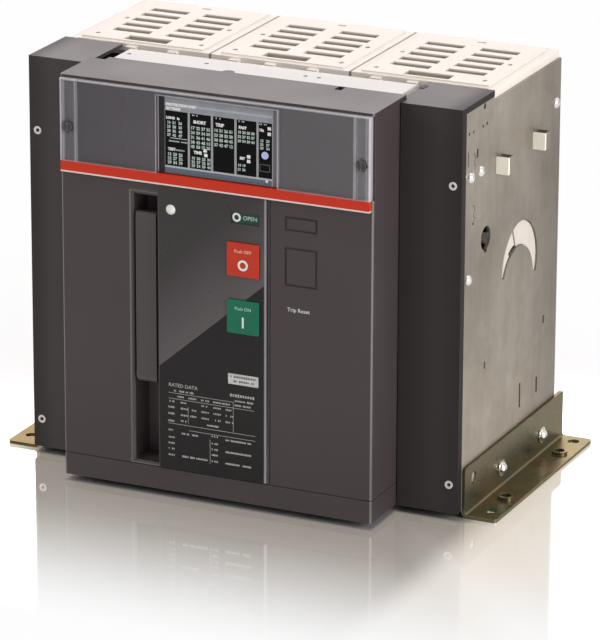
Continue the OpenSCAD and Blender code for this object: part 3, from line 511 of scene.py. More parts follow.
def clear_plastic(name, tint, veil, veil_right, band_start):
    """Clear moulded lid: lets lamps through, hazier to the right, and less clear at its ends, its
    band lines and its edges, which paints highlights there.
    """
    frosted_width = 9.8 * MM
    f = Finish(name)
    t = f.t
    haze = t.noise(f.place, 50 * MM, 3.0)
    # painted highlight: the lid's edges are made less clear
    rim = f.edge(1.2 * MM, 6.0)
    f.set(Base_Color=linear(tint), IOR=LID_IOR)
    f.rough(haze, 0.06, 0.12)
    x, _, z = f.axes()
    far = t.math("ABSOLUTE", x)

    # a dark ragged star round each of the two screws
    low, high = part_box("lid_screw_right")
    round_x = t.math("SUBTRACT", far, (low.x + high.x) / 2)
    round_z = t.math("SUBTRACT", z, (low.z + high.z) / 2)
    squares = t.math("ADD", t.math("POWER", round_x, 2.0), t.math("POWER", round_z, 2.0))
    rough = t.noise(f.place, 2.2 * MM, 4.0, 0.7)
    ragged = t.product(t.math("SUBTRACT", rough, 0.5), 12 * MM)
    reach = t.math("ADD", t.math("POWER", squares, 0.5), ragged)
    star = t.ramp(reach, 2.4 * MM, 6.4 * MM, 0.92, 0.0, smooth=True)
    clear = t.mix(star, linear(LID_CLEAR), linear(LID_STAR))
    through = t.out("ShaderNodeBsdfTransparent", {"Color": clear})

    # frosted bands, with two lines each and the lid's ends made less clear as painted highlights,
    # and haze from left to right
    band = t.ramp(far, band_start, band_start + 0.6 * MM, 0.0, 0.045)
    band_end = band_start + frosted_width
    lines = t.math(
        "MAXIMUM",
        f.band(far, band_start - 0.6 * MM, band_start + 1.2 * MM),
        f.band(far, band_end, band_end + 1.4 * MM),
    )
    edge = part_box("lid")[1]
    ends = t.math(
        "MAXIMUM",
        t.ramp(far, edge.x - 1.8 * MM, edge.x - 0.8 * MM),
        t.ramp(z, edge.z - 1.4 * MM, edge.z - 0.6 * MM),
    )
    fresnel = t.out("ShaderNodeFresnel", {"IOR": LID_IOR})
    share = t.product(fresnel, 0.6)
    for other in (
        band,
        t.product(lines, 0.13),
        t.product(ends, 0.3),
        t.ramp(x, -low.x, high.x, veil, veil_right),
        t.product(rim, 0.5),
    ):
        share = t.math("ADD", share, other)
    share = t.math("MULTIPLY", share, t.math("SUBTRACT", 1.0, star), True)
    f.show(t.out("ShaderNodeMixShader", {0: share, 1: through, 2: f.shader.outputs[0]}))
    return f.material


# ---- meshes ----


# how deep the back of a print sits in the face that carries it
SUNK = 0.05 * MM


def new_piece(name, mesh, material, body="frame"):
    """A piece of one material that rides on a body."""
    piece = bpy.data.objects.new(name, mesh)
    bpy.context.scene.collection.objects.link(piece)
    mesh.materials.clear()
    mesh.materials.append(material)
    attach(piece, body)


def add_block(bm, low, high):
    """Adds a box between two corners."""
    size = [b - a for a, b in zip(low, high)]
    centre = [(a + b) / 2 for a, b in zip(low, high)]
    matrix = Matrix.Translation(centre) @ Matrix.Diagonal((*size, 1.0))
    bmesh.ops.create_cube(bm, size=1.0, matrix=matrix)


def add_mark(bm, x0, x1, z0, z1, face, thick):
    """Adds an upright rectangle of print to a face that looks to the front."""
    add_block(bm, (x0, face - thick, z0), (x1, face + SUNK, z1))


def add_ring(bm, centre, outer, inner, face, thick, steps=48):
    """Adds a printed ring to a face that looks to the front."""
    x, z = centre
    front, back = face - thick, face + SUNK
    rows = []
    for y, radius in ((front, outer), (front, inner), (back, inner), (back, outer)):
        row = []
        for k in range(steps):
            angle = 2 * math.pi * k / steps
            place = (x + radius * math.cos(angle), y, z + radius * math.sin(angle))
            row.append(bm.verts.new(place))
        rows.append(row)
    for a, b in zip(rows, rows[1:] + rows[:1]):
        for k in range(steps):
            after = (k + 1) % steps
            bm.faces.new((a[k], a[after], b[after], b[k]))


def to_mesh(name, bm):
    """The mesh of a bmesh, which is freed."""
    mesh = bpy.data.meshes.new(name)
    bm.to_mesh(mesh)
    bm.free()
    return mesh


def finish_mesh(name, bm):
    """The mesh of closed forms, with their faces turned outwards."""
    bmesh.ops.recalc_face_normals(bm, faces=bm.faces)
    return to_mesh(name, bm)


def evaluated_mesh(holder):
    """The plain mesh of an object as it is built, and the object is deleted."""
    graph = bpy.context.evaluated_depsgraph_get()
    mesh = bpy.data.meshes.new_from_object(holder.evaluated_get(graph))
    mesh.name = holder.name
    holder.modifiers.clear()
    bpy.data.objects.remove(holder)
    return mesh


def text_mesh(name, words, height, centre, face, thick, align="CENTER", bold=0.0):
    """Raised print of words on a face that looks to the front."""
    capital = 0.7
    curve = bpy.data.curves.new(name, "FONT")
    curve.body = words
    curve.size = height / capital
    curve.align_x = align
    curve.align_y = "CENTER"
    curve.extrude = thick / 2
    curve.offset = bold
    curve.resolution_u = 3
    holder = bpy.data.objects.new(name, curve)
    bpy.context.scene.collection.objects.link(holder)
    mesh = evaluated_mesh(holder)
    bpy.data.curves.remove(curve)
    x, z = centre
    turn = Matrix.Rotation(QUARTER_TURN, 4, "X")
    mesh.transform(Matrix.Translation((x, face - thick / 2, z)) @ turn)
    return mesh


def join_meshes(name, meshes):
    """One mesh of several, which are deleted."""
    bm = bmesh.new()
    for mesh in meshes:
        bm.from_mesh(mesh)
        bpy.data.meshes.remove(mesh)
    return to_mesh(name, bm)


def points_mesh(name, points):
    """A mesh of loose points, for a tree to put fittings on."""
    mesh = bpy.data.meshes.new(name)
    mesh.from_pydata(points, [], [])
    return mesh


def strokes_mesh(name, strokes, face):
    """Edges from left to right for printed lines: left end, right end and height, in mm."""
    mesh = bpy.data.meshes.new(name)
    points, edges = [], []
    for left, right, z in strokes:
        edges.append((len(points), len(points) + 1))
        points += [(left * MM, face, z * MM), (right * MM, face, z * MM)]
    mesh.from_pydata(points, edges, [])
    return mesh


# ---- geometry nodes ----


def start_tree(name, inputs):
    """A tree with an input of a name, kind and default for each row, and the tree's inputs."""
    tree = bpy.data.node_groups.new(name, "GeometryNodeTree")
    sockets = tree.interface
    sockets.new_socket("Geometry", in_out="OUTPUT", socket_type="NodeSocketGeometry")
    sockets.new_socket("Geometry", in_out="INPUT", socket_type="NodeSocketGeometry")
    for key, kind, value in inputs:
        socket = sockets.new_socket(key, in_out="INPUT", socket_type="NodeSocket" + kind)
        socket.default_value = value
    sockets.new_socket("Material", in_out="INPUT", socket_type="NodeSocketMaterial")
    t = Tree(tree)
    return t, t.add("NodeGroupInput").outputs


def end_tree(t, given, geometry):
    """Ends a tree in Realize Instances and Set Material, as every tree ends."""
    real = t.out("GeometryNodeRealizeInstances", {0: geometry})
    done = t.out(
        "GeometryNodeSetMaterial", {"Geometry": real, "Material": given["Material"]}
    )
    t.add("NodeGroupOutput", {0: done})
    return t.tree


def run_tree(name, base, tree, values):
    """The plain mesh that a tree makes from a base mesh."""
    holder = bpy.data.objects.new(name, base)
    bpy.context.scene.collection.objects.link(holder)
    modifier = holder.modifiers.new("Build", "NODES")
    modifier.node_group = tree
    for item in tree.interface.items_tree:
        if item.in_out == "INPUT" and item.name in values:
            modifier[item.identifier] = values[item.name]
    return evaluated_mesh(holder)


def letter_tree():
    """Rows of small printed marks along the edges of a mesh, like lines of tiny print."""
    t, given = start_tree("printed_rows", (
        ("Pitch", "Float", 1.2 * MM),
        ("Width", "Float", 0.8 * MM),
        ("Height", "Float", 1.6 * MM),
        ("Thickness", "Float", 0.1 * MM),
        ("Variation", "Float", 0.35),
        ("Word Gaps", "Float", 0.12),
        ("Seed", "Int", 7),
    ))
    curve = t.out("GeometryNodeMeshToCurve", {0: given["Geometry"]})
    points = t.out(
        "GeometryNodeCurveToPoints", {"Curve": curve, "Length": given["Pitch"]}, mode="LENGTH"
    )
    gap = t.out(
        "FunctionNodeRandomValue",
        {"Probability": given["Word Gaps"], "Seed": given["Seed"]},
        "Value_003",
        data_type="BOOLEAN",
    )
    points = t.out("GeometryNodeDeleteGeometry", {"Geometry": points, "Selection": gap})
    tall = t.out(
        "FunctionNodeRandomValue",
        {
            "Min_001": t.math("SUBTRACT", 1.0, given["Variation"]),
            "Max_001": 1.0,
            "Seed": t.math("ADD", given["Seed"], 1.0),
        },
        "Value_001",
        data_type="FLOAT",
    )
    tall = t.product(given["Height"], tall)
    size = t.out("ShaderNodeCombineXYZ", {0: given["Width"], 1: given["Thickness"], 2: tall})
    cube = t.out("GeometryNodeMeshCube", {"Size": (1, 1, 1)})
    marks = t.out(
        "GeometryNodeInstanceOnPoints", {"Points": points, "Instance": cube, "Scale": size}
    )
    return end_tree(t, given, marks)


def fitting_tree():
    """Round fittings at the points of a mesh: flat discs or, where asked, domed heads."""
    t, given = start_tree("round_fittings", (
        ("Radius", "Float", 3 * MM),
        ("Height", "Float", 1 * MM),
        ("Sides", "Int", 24),
        ("Turn", "Vector", (0, 0, 0)),
        ("Domed", "Bool", False),
    ))
    disc = t.out(
        "GeometryNodeMeshCylinder", {"Vertices": given["Sides"], "Radius": 1.0, "Depth": 1.0},
        "Mesh",
    )
    dome = t.out(
        "GeometryNodeMeshUVSphere", {"Segments": given["Sides"], "Rings": 14, "Radius": 1.0},
        "Mesh",
    )
    shape = t.out(
        "GeometryNodeSwitch", {"Switch": given["Domed"], "False": disc, "True": dome},
        input_type="GEOMETRY",
    )
    size = t.out(
        "ShaderNodeCombineXYZ", {0: given["Radius"], 1: given["Radius"], 2: given["Height"]}
    )
    heads = t.out(
        "GeometryNodeInstanceOnPoints",
        {
            "Points": given["Geometry"],
            "Instance": shape,
            "Rotation": given["Turn"],
            "Scale": size,
        },
    )
    return end_tree(t, given, heads)


def wire_tree():
    """Crossed wires over a flat rectangle."""
    t, given = start_tree("wire_screen", (
        ("Width", "Float", 100 * MM),
        ("Depth", "Float", 100 * MM),
        ("Pitch", "Float", 3 * MM),
        ("Wire", "Float", 0.6 * MM),
    ))

    def wires(across, length, axis):
        """Wires in a row along an axis, over the width across, each of the given length."""
        count = t.math("FLOOR", t.math("DIVIDE", across, given["Pitch"]))
        span = t.product(t.math("SUBTRACT", count, 1.0), given["Pitch"])
        first = t.out("ShaderNodeCombineXYZ", {axis: t.product(span, -0.5)})
        step = t.out("ShaderNodeCombineXYZ", {axis: given["Pitch"]})
        row = t.out(
            "GeometryNodeMeshLine",
            {"Count": count, "Start Location": first, "Offset": step},
            mode="OFFSET",
        )
        shape = {0: given["Wire"], 1: given["Wire"], 2: given["Wire"], 1 - axis: length}
        wire = t.out("GeometryNodeMeshCube", {"Size": t.out("ShaderNodeCombineXYZ", shape)})
        return t.out("GeometryNodeInstanceOnPoints", {"Points": row, "Instance": wire})

    join = t.add("GeometryNodeJoinGeometry")
    for wire_row in (
        wires(given["Width"], given["Depth"], 0),
        wires(given["Depth"], given["Width"], 1),
    ):
        t.tree.links.new(wire_row, join.inputs[0])
    sheets = t.out(
        "GeometryNodeInstanceOnPoints",
        {"Points": given["Geometry"], "Instance": join.outputs[0]},
    )
    return end_tree(t, given, sheets)


# ---- settings ----


def colour_setting(name, description, value):
    return bpy.props.FloatVectorProperty(
        name=name, description=description, default=tuple(c / 255 for c in value),
        size=3, min=0.0, max=1.0, subtype="COLOR_GAMMA",
    )


def length_setting(name, description, value):
    return bpy.props.FloatProperty(
        name=name, description=description, default=value * MM, min=0.0,
        precision=5, subtype="DISTANCE", unit="LENGTH",
    )


def power_setting(name, description, value):
    return bpy.props.FloatProperty(
        name=name, description=description, default=value, min=0.0, soft_max=200.0,
        subtype="POWER", unit="POWER",
    )


def share_setting(name, description, value, top=1.0):
    return bpy.props.FloatProperty(
        name=name, description=description, default=value, min=0.0, max=top,
        subtype="FACTOR",
    )


class HousingSettings(bpy.types.PropertyGroup):
    """Colours of the cover, the wings, the panel, the lid and the controls"""

    cover: colour_setting("Cover", "Moulded front cover", (64, 55, 57))
    wing: colour_setting("Wings", "Moulded side wings", (64, 58, 58))
    panel_high: colour_setting("Panel, upper part", "Upper left of the panel", (55, 51, 52))
    panel_low: colour_setting("Panel, lower part", "Lower right of the panel", (30, 26, 27))
    lever: colour_setting("Lever", "Charging lever", (65, 59, 58))
    strip: colour_setting("Strip", "Red strip", (194, 44, 16))
    line: colour_setting("Line", "Line under the strip", (218, 200, 196))
    bezel: colour_setting("Bezel", "Frame of the display", (143, 146, 153))
    screen: colour_setting("Screen", "Dark display", (8, 8, 9))
    key: colour_setting("Key", "Round key of the display", (176, 190, 228))
    dome: colour_setting("Dome", "White lamp", (222, 219, 214))
    off: colour_setting("OFF button", "Red push button", (186, 50, 26))
    on: colour_setting("ON button", "Green push button", (10, 102, 76))
    closed: colour_setting("Contact flag", "Green flag", (6, 52, 36))
    spring: colour_setting("Spring flag", "Silver flag", (196, 195, 194))
    lid: colour_setting("Lid", "Tint of the clear lid", (226, 222, 226))
    veil: share_setting("Lid haze", "How milky the clear lid is at its left", 0.028)
    veil_right: share_setting("Haze at the right", "The same at its right end", 0.07)
    band_start: length_setting("Lid band", "Where the frosted ends of the lid start", 122.4)
    # strength of the paler corners, which are partly scuffing and partly a painted highlight
    worn_and_lit_strength: share_setting("Wear", "How rubbed the corners are", 6.0, 20.0)


class MetalSettings(bpy.types.PropertyGroup):
    """Colours of the plates, the angles, the screws and the terminals"""

    steel: colour_setting("Galvanised sheet", "Side plates", (138, 131, 120))
    olive: colour_setting("Passivated zinc", "Floor angles", (99, 94, 76))
    straw: colour_setting("Straw blush", "Second tone of the angles", (122, 108, 78))
    green: colour_setting("Green blush", "Third tone of the angles", (80, 100, 80))
    rose: colour_setting("Rose blush", "Fourth tone of the angles", (116, 98, 88))
    zinc: colour_setting("Screws", "Zinc plated screws", (222, 221, 218))
    dark: colour_setting("Dark screws", "Screws of the lid", (74, 66, 69))
    mechanism: colour_setting("Mechanism", "Plain steel parts", (128, 127, 124))
    silver: colour_setting("Terminals", "Silver plated copper", (214, 210, 200))


class PoleSettings(bpy.types.PropertyGroup):
    """Colours of the poles and chutes, and sizes of the wire screens"""

    cream: colour_setting("Cream moulding", "Arc chutes and cranks", (226, 216, 208))
    # pegs: a paler copy of the cream moulding, as painted light on faces the lamps light less
    lit_peg: colour_setting("Pegs", "Support pegs", (252, 246, 232))
    crank: colour_setting("Cranks", "Lifting cranks behind the side plates", (206, 196, 187))
    cover: colour_setting("Terminal cover", "White cover behind the front", (197, 193, 190))
    aux: colour_setting("Contacts", "Grey auxiliary contacts", (178, 175, 168))
    pole: colour_setting("Poles", "Brown thermoset moulding", (44, 37, 34))
    grid: colour_setting("Grids", "Insulating plates in the chutes", (100, 94, 83))
    wire_pitch: length_setting("Wire pitch", "Distance between the wires", 2.4)
    wire: length_setting("Wire", "Thickness of a wire", 0.5)
    wire_colour: colour_setting("Wire tone", "Plated wires of the screens", (232, 224, 210))


class PrintSettings(bpy.types.PropertyGroup):
    """Colours and sizes of the prints"""

    ink: colour_setting("Ink", "White print", (228, 226, 222))
    soft: colour_setting("Soft ink", "Small print of the table", (176, 173, 171))
    lit: colour_setting("Display ink", "Print on the display", (178, 194, 186))
    pink: colour_setting("OFF caption", "Words on the red button", (234, 192, 184))
    mint: colour_setting("ON caption", "Words on the green button and flag", (178, 208, 190))
    dark: colour_setting("Dark ink", "Print on pale places", (92, 90, 92))
    thickness: length_setting("Thickness", "How proud the print stands", 0.12)
    ring: length_setting("Ring", "Outer radius of the ring on OFF", 4.5)
    ring_wall: length_setting("Ring wall", "Width of that ring's line", 1.8)
    bar: length_setting("Bar", "Width of the bar on ON", 1.6)
    bar_height: length_setting("Bar height", "Height of that bar", 9.0)
    caption: length_setting("Captions", "Letter height of the captions", 2.7)


class FittingSettings(bpy.types.PropertyGroup):
    """Colours and sizes of the small fittings"""

    head: colour_setting("Heads", "Domed heads on the side plates", (236, 235, 230))
    # dark ink: painted shade in sockets and holes, and the colour of the dark marks
    hole_shade_and_marks: colour_setting("Holes", "Dark sockets and holes", (26, 23, 23))
    head_radius: length_setting("Head radius", "Radius of the domed heads", 4.8)
    head_height: length_setting("Head height", "How far they stand out", 3.6)


class StageSettings(bpy.types.PropertyGroup):
    """Floor, light from all round and lamps"""

    floor: colour_setting("Floor", "Pale plain floor", (238, 237, 235))
    # painted warm shade on the floor beside the object
    painted_floor_shade: colour_setting("Floor beside the object", "Tone of the lit floor there", (255, 243, 226))
    mirror: share_setting("Mirror", "How much the floor mirrors beside the object", 0.69)
    mirror_side: share_setting("Mirror at the sides", "The same beside the side plates", 0.38)
    mirror_reach: length_setting("Mirror reach", "Where the mirror has faded out", 280.0)
    polish: share_setting("Polish", "Roughness of the floor's mirror", 0.06)
    shadow: share_setting("Shadow", "How much of the object's shadow the floor keeps", 0.28)
    world: share_setting("World light", "Light from all round", 0.34, 3.0)
    dim: share_setting("Dim side", "What gloss shows of the studio before the object", 0.35)
    sky: colour_setting("Glossy tint", "Tint of the studio as gloss shows it", (255, 242, 243))
    warm: colour_setting("Warm lamps", "Tint of the lamps above and behind", (255, 251, 249))
    key: power_setting("Key lamp", "Power of the lamp at the front left", 31.0)
    top: power_setting("Top lamp", "Power of the lamp above", 20.0)
    side: power_setting("Side lamp", "Power of the lamp at the right", 66.0)
    back: power_setting("Back lamp", "Power of the lamp behind the object", 18.0)


# ---- finishes ----


def dress(material, *nodes):
    """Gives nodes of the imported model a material."""
    for node in nodes:
        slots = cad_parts[node].data.materials
        if len(slots) == 0:
            slots.append(material)
        for place in range(len(slots)):
            slots[place] = material


class BREAKER_OT_finish_housing(bpy.types.Operator):
    """Finishes of the cover, the wings, the panel, the lid and their controls"""

    bl_idname = "breaker.finish_housing"
    bl_label = "Housing Finishes"

    def execute(self, context):
        s = context.scene.breaker_housing
        dress(
            moulded("cover_plastic", s.cover, 0.46, patch=90, worn_and_lit_strength=s.worn_and_lit_strength, worn_and_lit_tone=1.9,
                    shine=0.42, detail=cover_detail),
            "front_cover",
        )
        dress(
            moulded("wing_plastic", s.wing, 0.44, patch=110, worn_and_lit_strength=s.worn_and_lit_strength, worn_and_lit_tone=1.9,
                    shine=0.36, detail=wing_detail),
            "wing_left", "wing_right",
        )
        dress(glossy_panel(s.panel_high, s.panel_low), "control_panel")
        dress(moulded("lever_plastic", s.lever, 0.42, patch=30, worn_and_lit_tone=1.7), "charging_lever")
        dress(
            moulded("red_strip", s.strip, 0.32, patch=120, contrast=0.04, depth=0.008,
                    worn_and_lit_tone=1.15, shine=0.3),
            "accent_strip",
        )
        dress(
            moulded("white_line", s.line, 0.32, patch=50, contrast=0.03, worn_and_lit_tone=1.05),
            "accent_line",
        )
        dress(display_frame(s.bezel), "display_bezel")
        dress(
            moulded("screen_film", s.screen, 0.22, patch=30, grain=0.9,
                    depth=0.004, contrast=0.1, shine=0.1),
            "display_screen",
        )
        dress(
            moulded("key_blue", s.key, 0.35, patch=4, contrast=0.06, worn_and_lit_tone=1.3),
            "display_key",
        )
        dress(
            moulded("button_red", s.off, 0.36, patch=20, contrast=0.05, worn_and_lit_tone=1.35, shine=0.3),
            "push_off_button",
        )
        dress(
            moulded("button_green", s.on, 0.36, patch=20, contrast=0.05, worn_and_lit_tone=1.5, shine=0.3),
            "push_on_button",
        )
        dress(
            moulded("flag_green", s.closed, 0.4, patch=10, contrast=0.07, worn_and_lit_tone=1.4),
            "contact_flag",
        )
        dress(
            moulded("flag_silver", s.spring, 0.36, patch=12, contrast=0.05, worn_and_lit_tone=1.1),
            "spring_flag",
        )
        dress(
            moulded("dome_white", s.dome, 0.22, patch=6, contrast=0.03, depth=0.005,
                    worn_and_lit_tone=1.05),
            "status_dome",
        )
        dress(clear_plastic("clear_lid", s.lid, s.veil, s.veil_right, s.band_start), "lid")
        return {"FINISHED"}


class BREAKER_OT_finish_metalwork(bpy.types.Operator):
    """Finishes of the side plates, the floor angles, the screws and the mechanism"""

    bl_idname = "breaker.finish_metalwork"
    bl_label = "Metal Finishes"

    def execute(self, context):
        s = context.scene.breaker_metal
        dress(galvanised("galvanised_sheet", s.steel), "side_plate_left", "side_plate_right")
        dress(
            passivated("yellow_passivated", s.olive, s.straw, s.green, s.rose),
            "floor_angle_left", "floor_angle_right",
        )
        dress(
            plated("zinc_plated", s.zinc),
            "angle_bolts_left", "angle_bolts_right",
        )
        dress(plated("pale_zinc", s.zinc, 0.3, 0.35), "wing_screws_left", "wing_screws_right")
        dress(plated("dark_screws", s.dark, 0.4, 0.6), "lid_screw_left", "lid_screw_right")
        dress(
            plated("mechanism_steel", s.mechanism, 0.4, 0.8),
            "mechanism_housing", "lever_pin",
        )
        dress(
            plated("silvered_copper", s.silver, 0.34),
            "terminals_left", "terminals_centre", "terminals_right",
        )
        return {"FINISHED"}


class BREAKER_OT_finish_poles(bpy.types.Operator):
    """Finishes of the poles, the arc chutes, the terminal cover and the contacts"""

    bl_idname = "breaker.finish_poles"
    bl_label = "Pole Finishes"

    def execute(self, context):
        s = context.scene.breaker_poles
        dress(
            moulded("cream_moulding", s.cream, 0.5, patch=70, contrast=0.05, worn_and_lit_tone=1.12,
                    depth=0.03, detail=chute_detail),
            *("arc_chute_" + side for side in POLES),
        )
        # pegs in the paler copy of the cream: painted light
        dress(
            moulded("cream_pegs", s.lit_peg, 0.4, patch=20, contrast=0.03, worn_and_lit_tone=1.02),
            "support_pegs_left", "support_pegs_right",
        )
        dress(
            moulded("cream_crank", s.crank, 0.45, patch=20, contrast=0.04, worn_and_lit_tone=1.04),
            "crank_left", "crank_right",
        )
        dress(
            moulded("cover_white", s.cover, 0.42, patch=80, contrast=0.03, worn_and_lit_tone=1.04),
            "terminal_cover",
        )
        dress(
            moulded("contact_grey", s.aux, 0.45, patch=20, contrast=0.07, worn_and_lit_tone=1.15),
            "auxiliary_contacts",
        )
        dress(
            moulded("pole_thermoset", s.pole, 0.5, patch=40, contrast=0.12, worn_and_lit_tone=1.5,
                    grain=0.9, depth=0.04),
            *("pole_" + side for side in POLES),
        )
        dress(
            moulded("grid_plate", s.grid, 0.6, patch=8, contrast=0.14, worn_and_lit_tone=1.15,
                    grain=0.7, depth=0.05),
            *("vent_grid_" + side for side in POLES),
        )
        return {"FINISHED"}


# ---- prints ----


PANEL_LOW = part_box("control_panel")[0]
BEZEL_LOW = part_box("display_bezel")[0]
SCREEN_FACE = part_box("display_screen")[0].y

# cells of the rating table: columns, rows and length of the print in a cell, in millimetres
# from the panel's lower left corner
VALUE_ROWS = (57.8, 52.7, 47.3)
LOWER_ROWS = (33.2, 27.0, 22.0, 17.2, 11.8)
RATING_CELLS = (
    ((11,), (57.9, 52.9, 47.4, 41.1), 4.6),
    ((22.7,), (57.8, 52.8, 47.2, 42.2), 5.4),
    ((30.7,), (52.7, 47.4), 4.6),
    ((41.4, 52.1, 63.1), VALUE_ROWS, 5.6),
    ((48.3,), (42.0,), 9.6),
    ((20, 30, 41.4, 52.1, 60), (62.6,), 6.2),
    ((11.1,), LOWER_ROWS, 4.4),
    ((50.0,), LOWER_ROWS, 4.6),
    ((28.2,), (31.4,), 15.0),
    ((31.6,), (11.8,), 23.0),
    ((71.1,), (31.8, 21.6, 11.7), 22.0),
    ((22.1,), (67.3,), 16.6),
    ((76.2,), (66.6, 62.9), 15.6),
)
RATING_HEADING = (((74.5,), (71.1,), 20.0),)
RATING_TITLE = (8.6, 71.9)
# ruled lines from the same corner: across (left, right, height) and upright (place, foot, top)
RULES_ACROSS = ((8.6, 66.9, 65.2), (8.6, 85.4, 60.3), (8.4, 86.1, 38.9), (26.8, 86.1, 34.8))
RULES_UPRIGHT = ((66.6, 39.4, 65.1), (26.2, 40.5, 55.0), (45.8, 9.4, 29.9))
# half the width of either kind of line
RULE_ACROSS, RULE_UPRIGHT = 0.15, 0.13

# columns, rows and letter height of the numbers on the display, in millimetres
DISPLAY_GRIDS = (
    ((-40.3, -35.6, -30.2), (318.6, 315.1, 311.6, 308.2), 2.2),
    ((-39.8, -35.0, -30.0), (292.4, 289.0, 285.6), 2.4),
    ((-19.2, -14.5, -10.0, -5.6), (316.4, 312.5, 308.6, 304.7, 301.0), 2.4),
    ((-18.8, -14.2, -9.6, -5.0), (291.5, 288.3, 285.2), 2.2),
    ((1.3, 5.7, 10.1, 14.4), (317.0, 313.0, 309.0, 305.0), 2.4),
    ((21.8, 25.7, 29.7, 33.6), (318.0, 314.4, 310.8), 2.1),
    ((21.7, 25.7), (290.9, 287.4), 2.0),
    ((41.3, 46.6), (313.4, 310.3, 307.2), 2.1),
)
# words on the display and on its frame: text, left end, height of its middle, letter height
DISPLAY_WORDS = (
    ("LONG", -42.7, 322.4, 1.9), ("In", -32.9, 322.4, 1.9), ("SHORT", -18.6, 321.5, 2.4),
    ("TRIP", 1.0, 321.5, 2.6), ("FAST", 21.2, 321.9, 2.2), ("Hz", 39.4, 322.0, 2.2),
    ("TEST", -41.1, 296.6, 2.1), ("TIME", -18.3, 296.4, 2.3), ("SET", 22.2, 296.8, 2.0),
)
HEADER_WORDS = (("PROTECTION UNIT", -42.4, 333.6, 2.1), ("SETTINGS", -42.4, 330.3, 2.0))
# lines of tiny print on the display: left end, right end and height
DISPLAY_STROKES = (
    (-39.9, -24.3, 303.4), (1.5, 4.8, 327.0), (-19.2, -15.4, 326.9),
    (21.5, 25.6, 327.0), (39.5, 46.4, 326.9), (-35.0, -27.0, 296.4),
)
# filled rectangles: middle across, middle height, half the width and half the height
DISPLAY_KEYS = tuple(
    (x, z, 1.5, 1.35)
    for x, z in ((-8.3, 298.9), (-7.7, 295.2), (29.9, 298.8), (29.9, 295.0),
                 (47.9, 324.0), (47.9, 319.6))
)
DISPLAY_DASH = (-31.6, 306.0, 7.4, 0.18)
PORT_SIDES = (
    (44.0, 294.0, 4.5, 0.25), (44.0, 288.4, 4.5, 0.25),
    (39.7, 291.2, 0.25, 2.6), (48.3, 291.2, 0.25, 2.6),
)
# small lamp: middle across and height, then radius behind and in front, and depth
DISPLAY_LAMP = (46.0, 280.6)
LAMP_SIZE = (1.4 * MM, 1.1 * MM, 0.4 * MM)
# how much the letters are thickened, and how far the frame's print lies behind its front
NUMBER_BOLD, WORD_BOLD, HEADER_BOLD = 0.14 * MM, 0.18 * MM, 0.22 * MM
HEADER_DROP = 0.6 * MM
# width of a tiny mark as part of the pitch of its row
MARK_SHARE = 0.68


def table_strokes(table, corner):
    """Strokes for the cells of a table, in millimetres from a corner given in metres."""
    left, foot = corner.x / MM, corner.z / MM
    return [
        (left + column - length / 2, left + column + length / 2, foot + row)
        for columns, rows, length in table
        for column in columns
        for row in rows
    ]


def small_print(name, strokes, face, ink, height, seed, pitch=1.15):
    """Lines of tiny print made by the tree for printed rows, with sizes in millimetres."""
    thick = bpy.context.scene.breaker_print.thickness
    tree = bpy.data.node_groups.get("printed_rows") or letter_tree()
    mesh = run_tree(
        name,
        strokes_mesh(name + "_lines", strokes, face - thick / 2),
        tree,
        {
            "Pitch": pitch * MM,
            "Width": MARK_SHARE * pitch * MM,
            "Height": height * MM,
            "Thickness": thick,
            "Seed": seed,
            "Material": ink,
        },
    )
    new_piece(name, mesh, ink)


def words_mesh(name, table, face, thick, bold):
    """One mesh of the words of a table."""
    return join_meshes(name, [
        text_mesh("word", words, height * MM, (left * MM, z * MM), face, thick, "LEFT", bold)
        for words, left, z, height in table
    ])


def rectangles_mesh(name, table, face, thick):
    """One mesh of the filled rectangles of a table."""
    bm = bmesh.new()
    for x, z, half_width, half_height in table:
        sides = (x - half_width, x + half_width, z - half_height, z + half_height)
        add_mark(bm, *(side * MM for side in sides), face, thick)
    return finish_mesh(name, bm)


class BREAKER_OT_print_rating(bpy.types.Operator):
    """Table of rated values in the lower part of the panel, as rows of tiny print"""

    bl_idname = "breaker.print_rating"
    bl_label = "Rating Table"

    def execute(self, context):
        s = context.scene.breaker_print
        ink = printed("table_print", s.soft)
        face, thick = PANEL_LOW.y, s.thickness
        cells = table_strokes(RATING_CELLS, PANEL_LOW)
        small_print("rating_print", cells, face, ink, height=1.7, seed=11)
        heading = table_strokes(RATING_HEADING, PANEL_LOW)
        small_print("rating_heads", heading, face, ink, height=2.8, seed=12, pitch=2.0)
        rules = [(x0, x1, z - RULE_ACROSS, z + RULE_ACROSS) for x0, x1, z in RULES_ACROSS]
        rules += [(x - RULE_UPRIGHT, x + RULE_UPRIGHT, z0, z1) for x, z0, z1 in RULES_UPRIGHT]
        left, foot = PANEL_LOW.x / MM, PANEL_LOW.z / MM
        bm = bmesh.new()
        for x0, x1, z0, z1 in rules:
            sides = (left + x0, left + x1, foot + z0, foot + z1)
            add_mark(bm, *(side * MM for side in sides), face, thick)
        new_piece("rating_rules", finish_mesh("rating_rules", bm), ink)
        x, z = RATING_TITLE
        place = ((left + x) * MM, (foot + z) * MM)
        title = text_mesh("rating_title", "RATED DATA", 3 * MM, place, face, thick, "LEFT")
        new_piece("rating_title", title, ink)
        return {"FINISHED"}


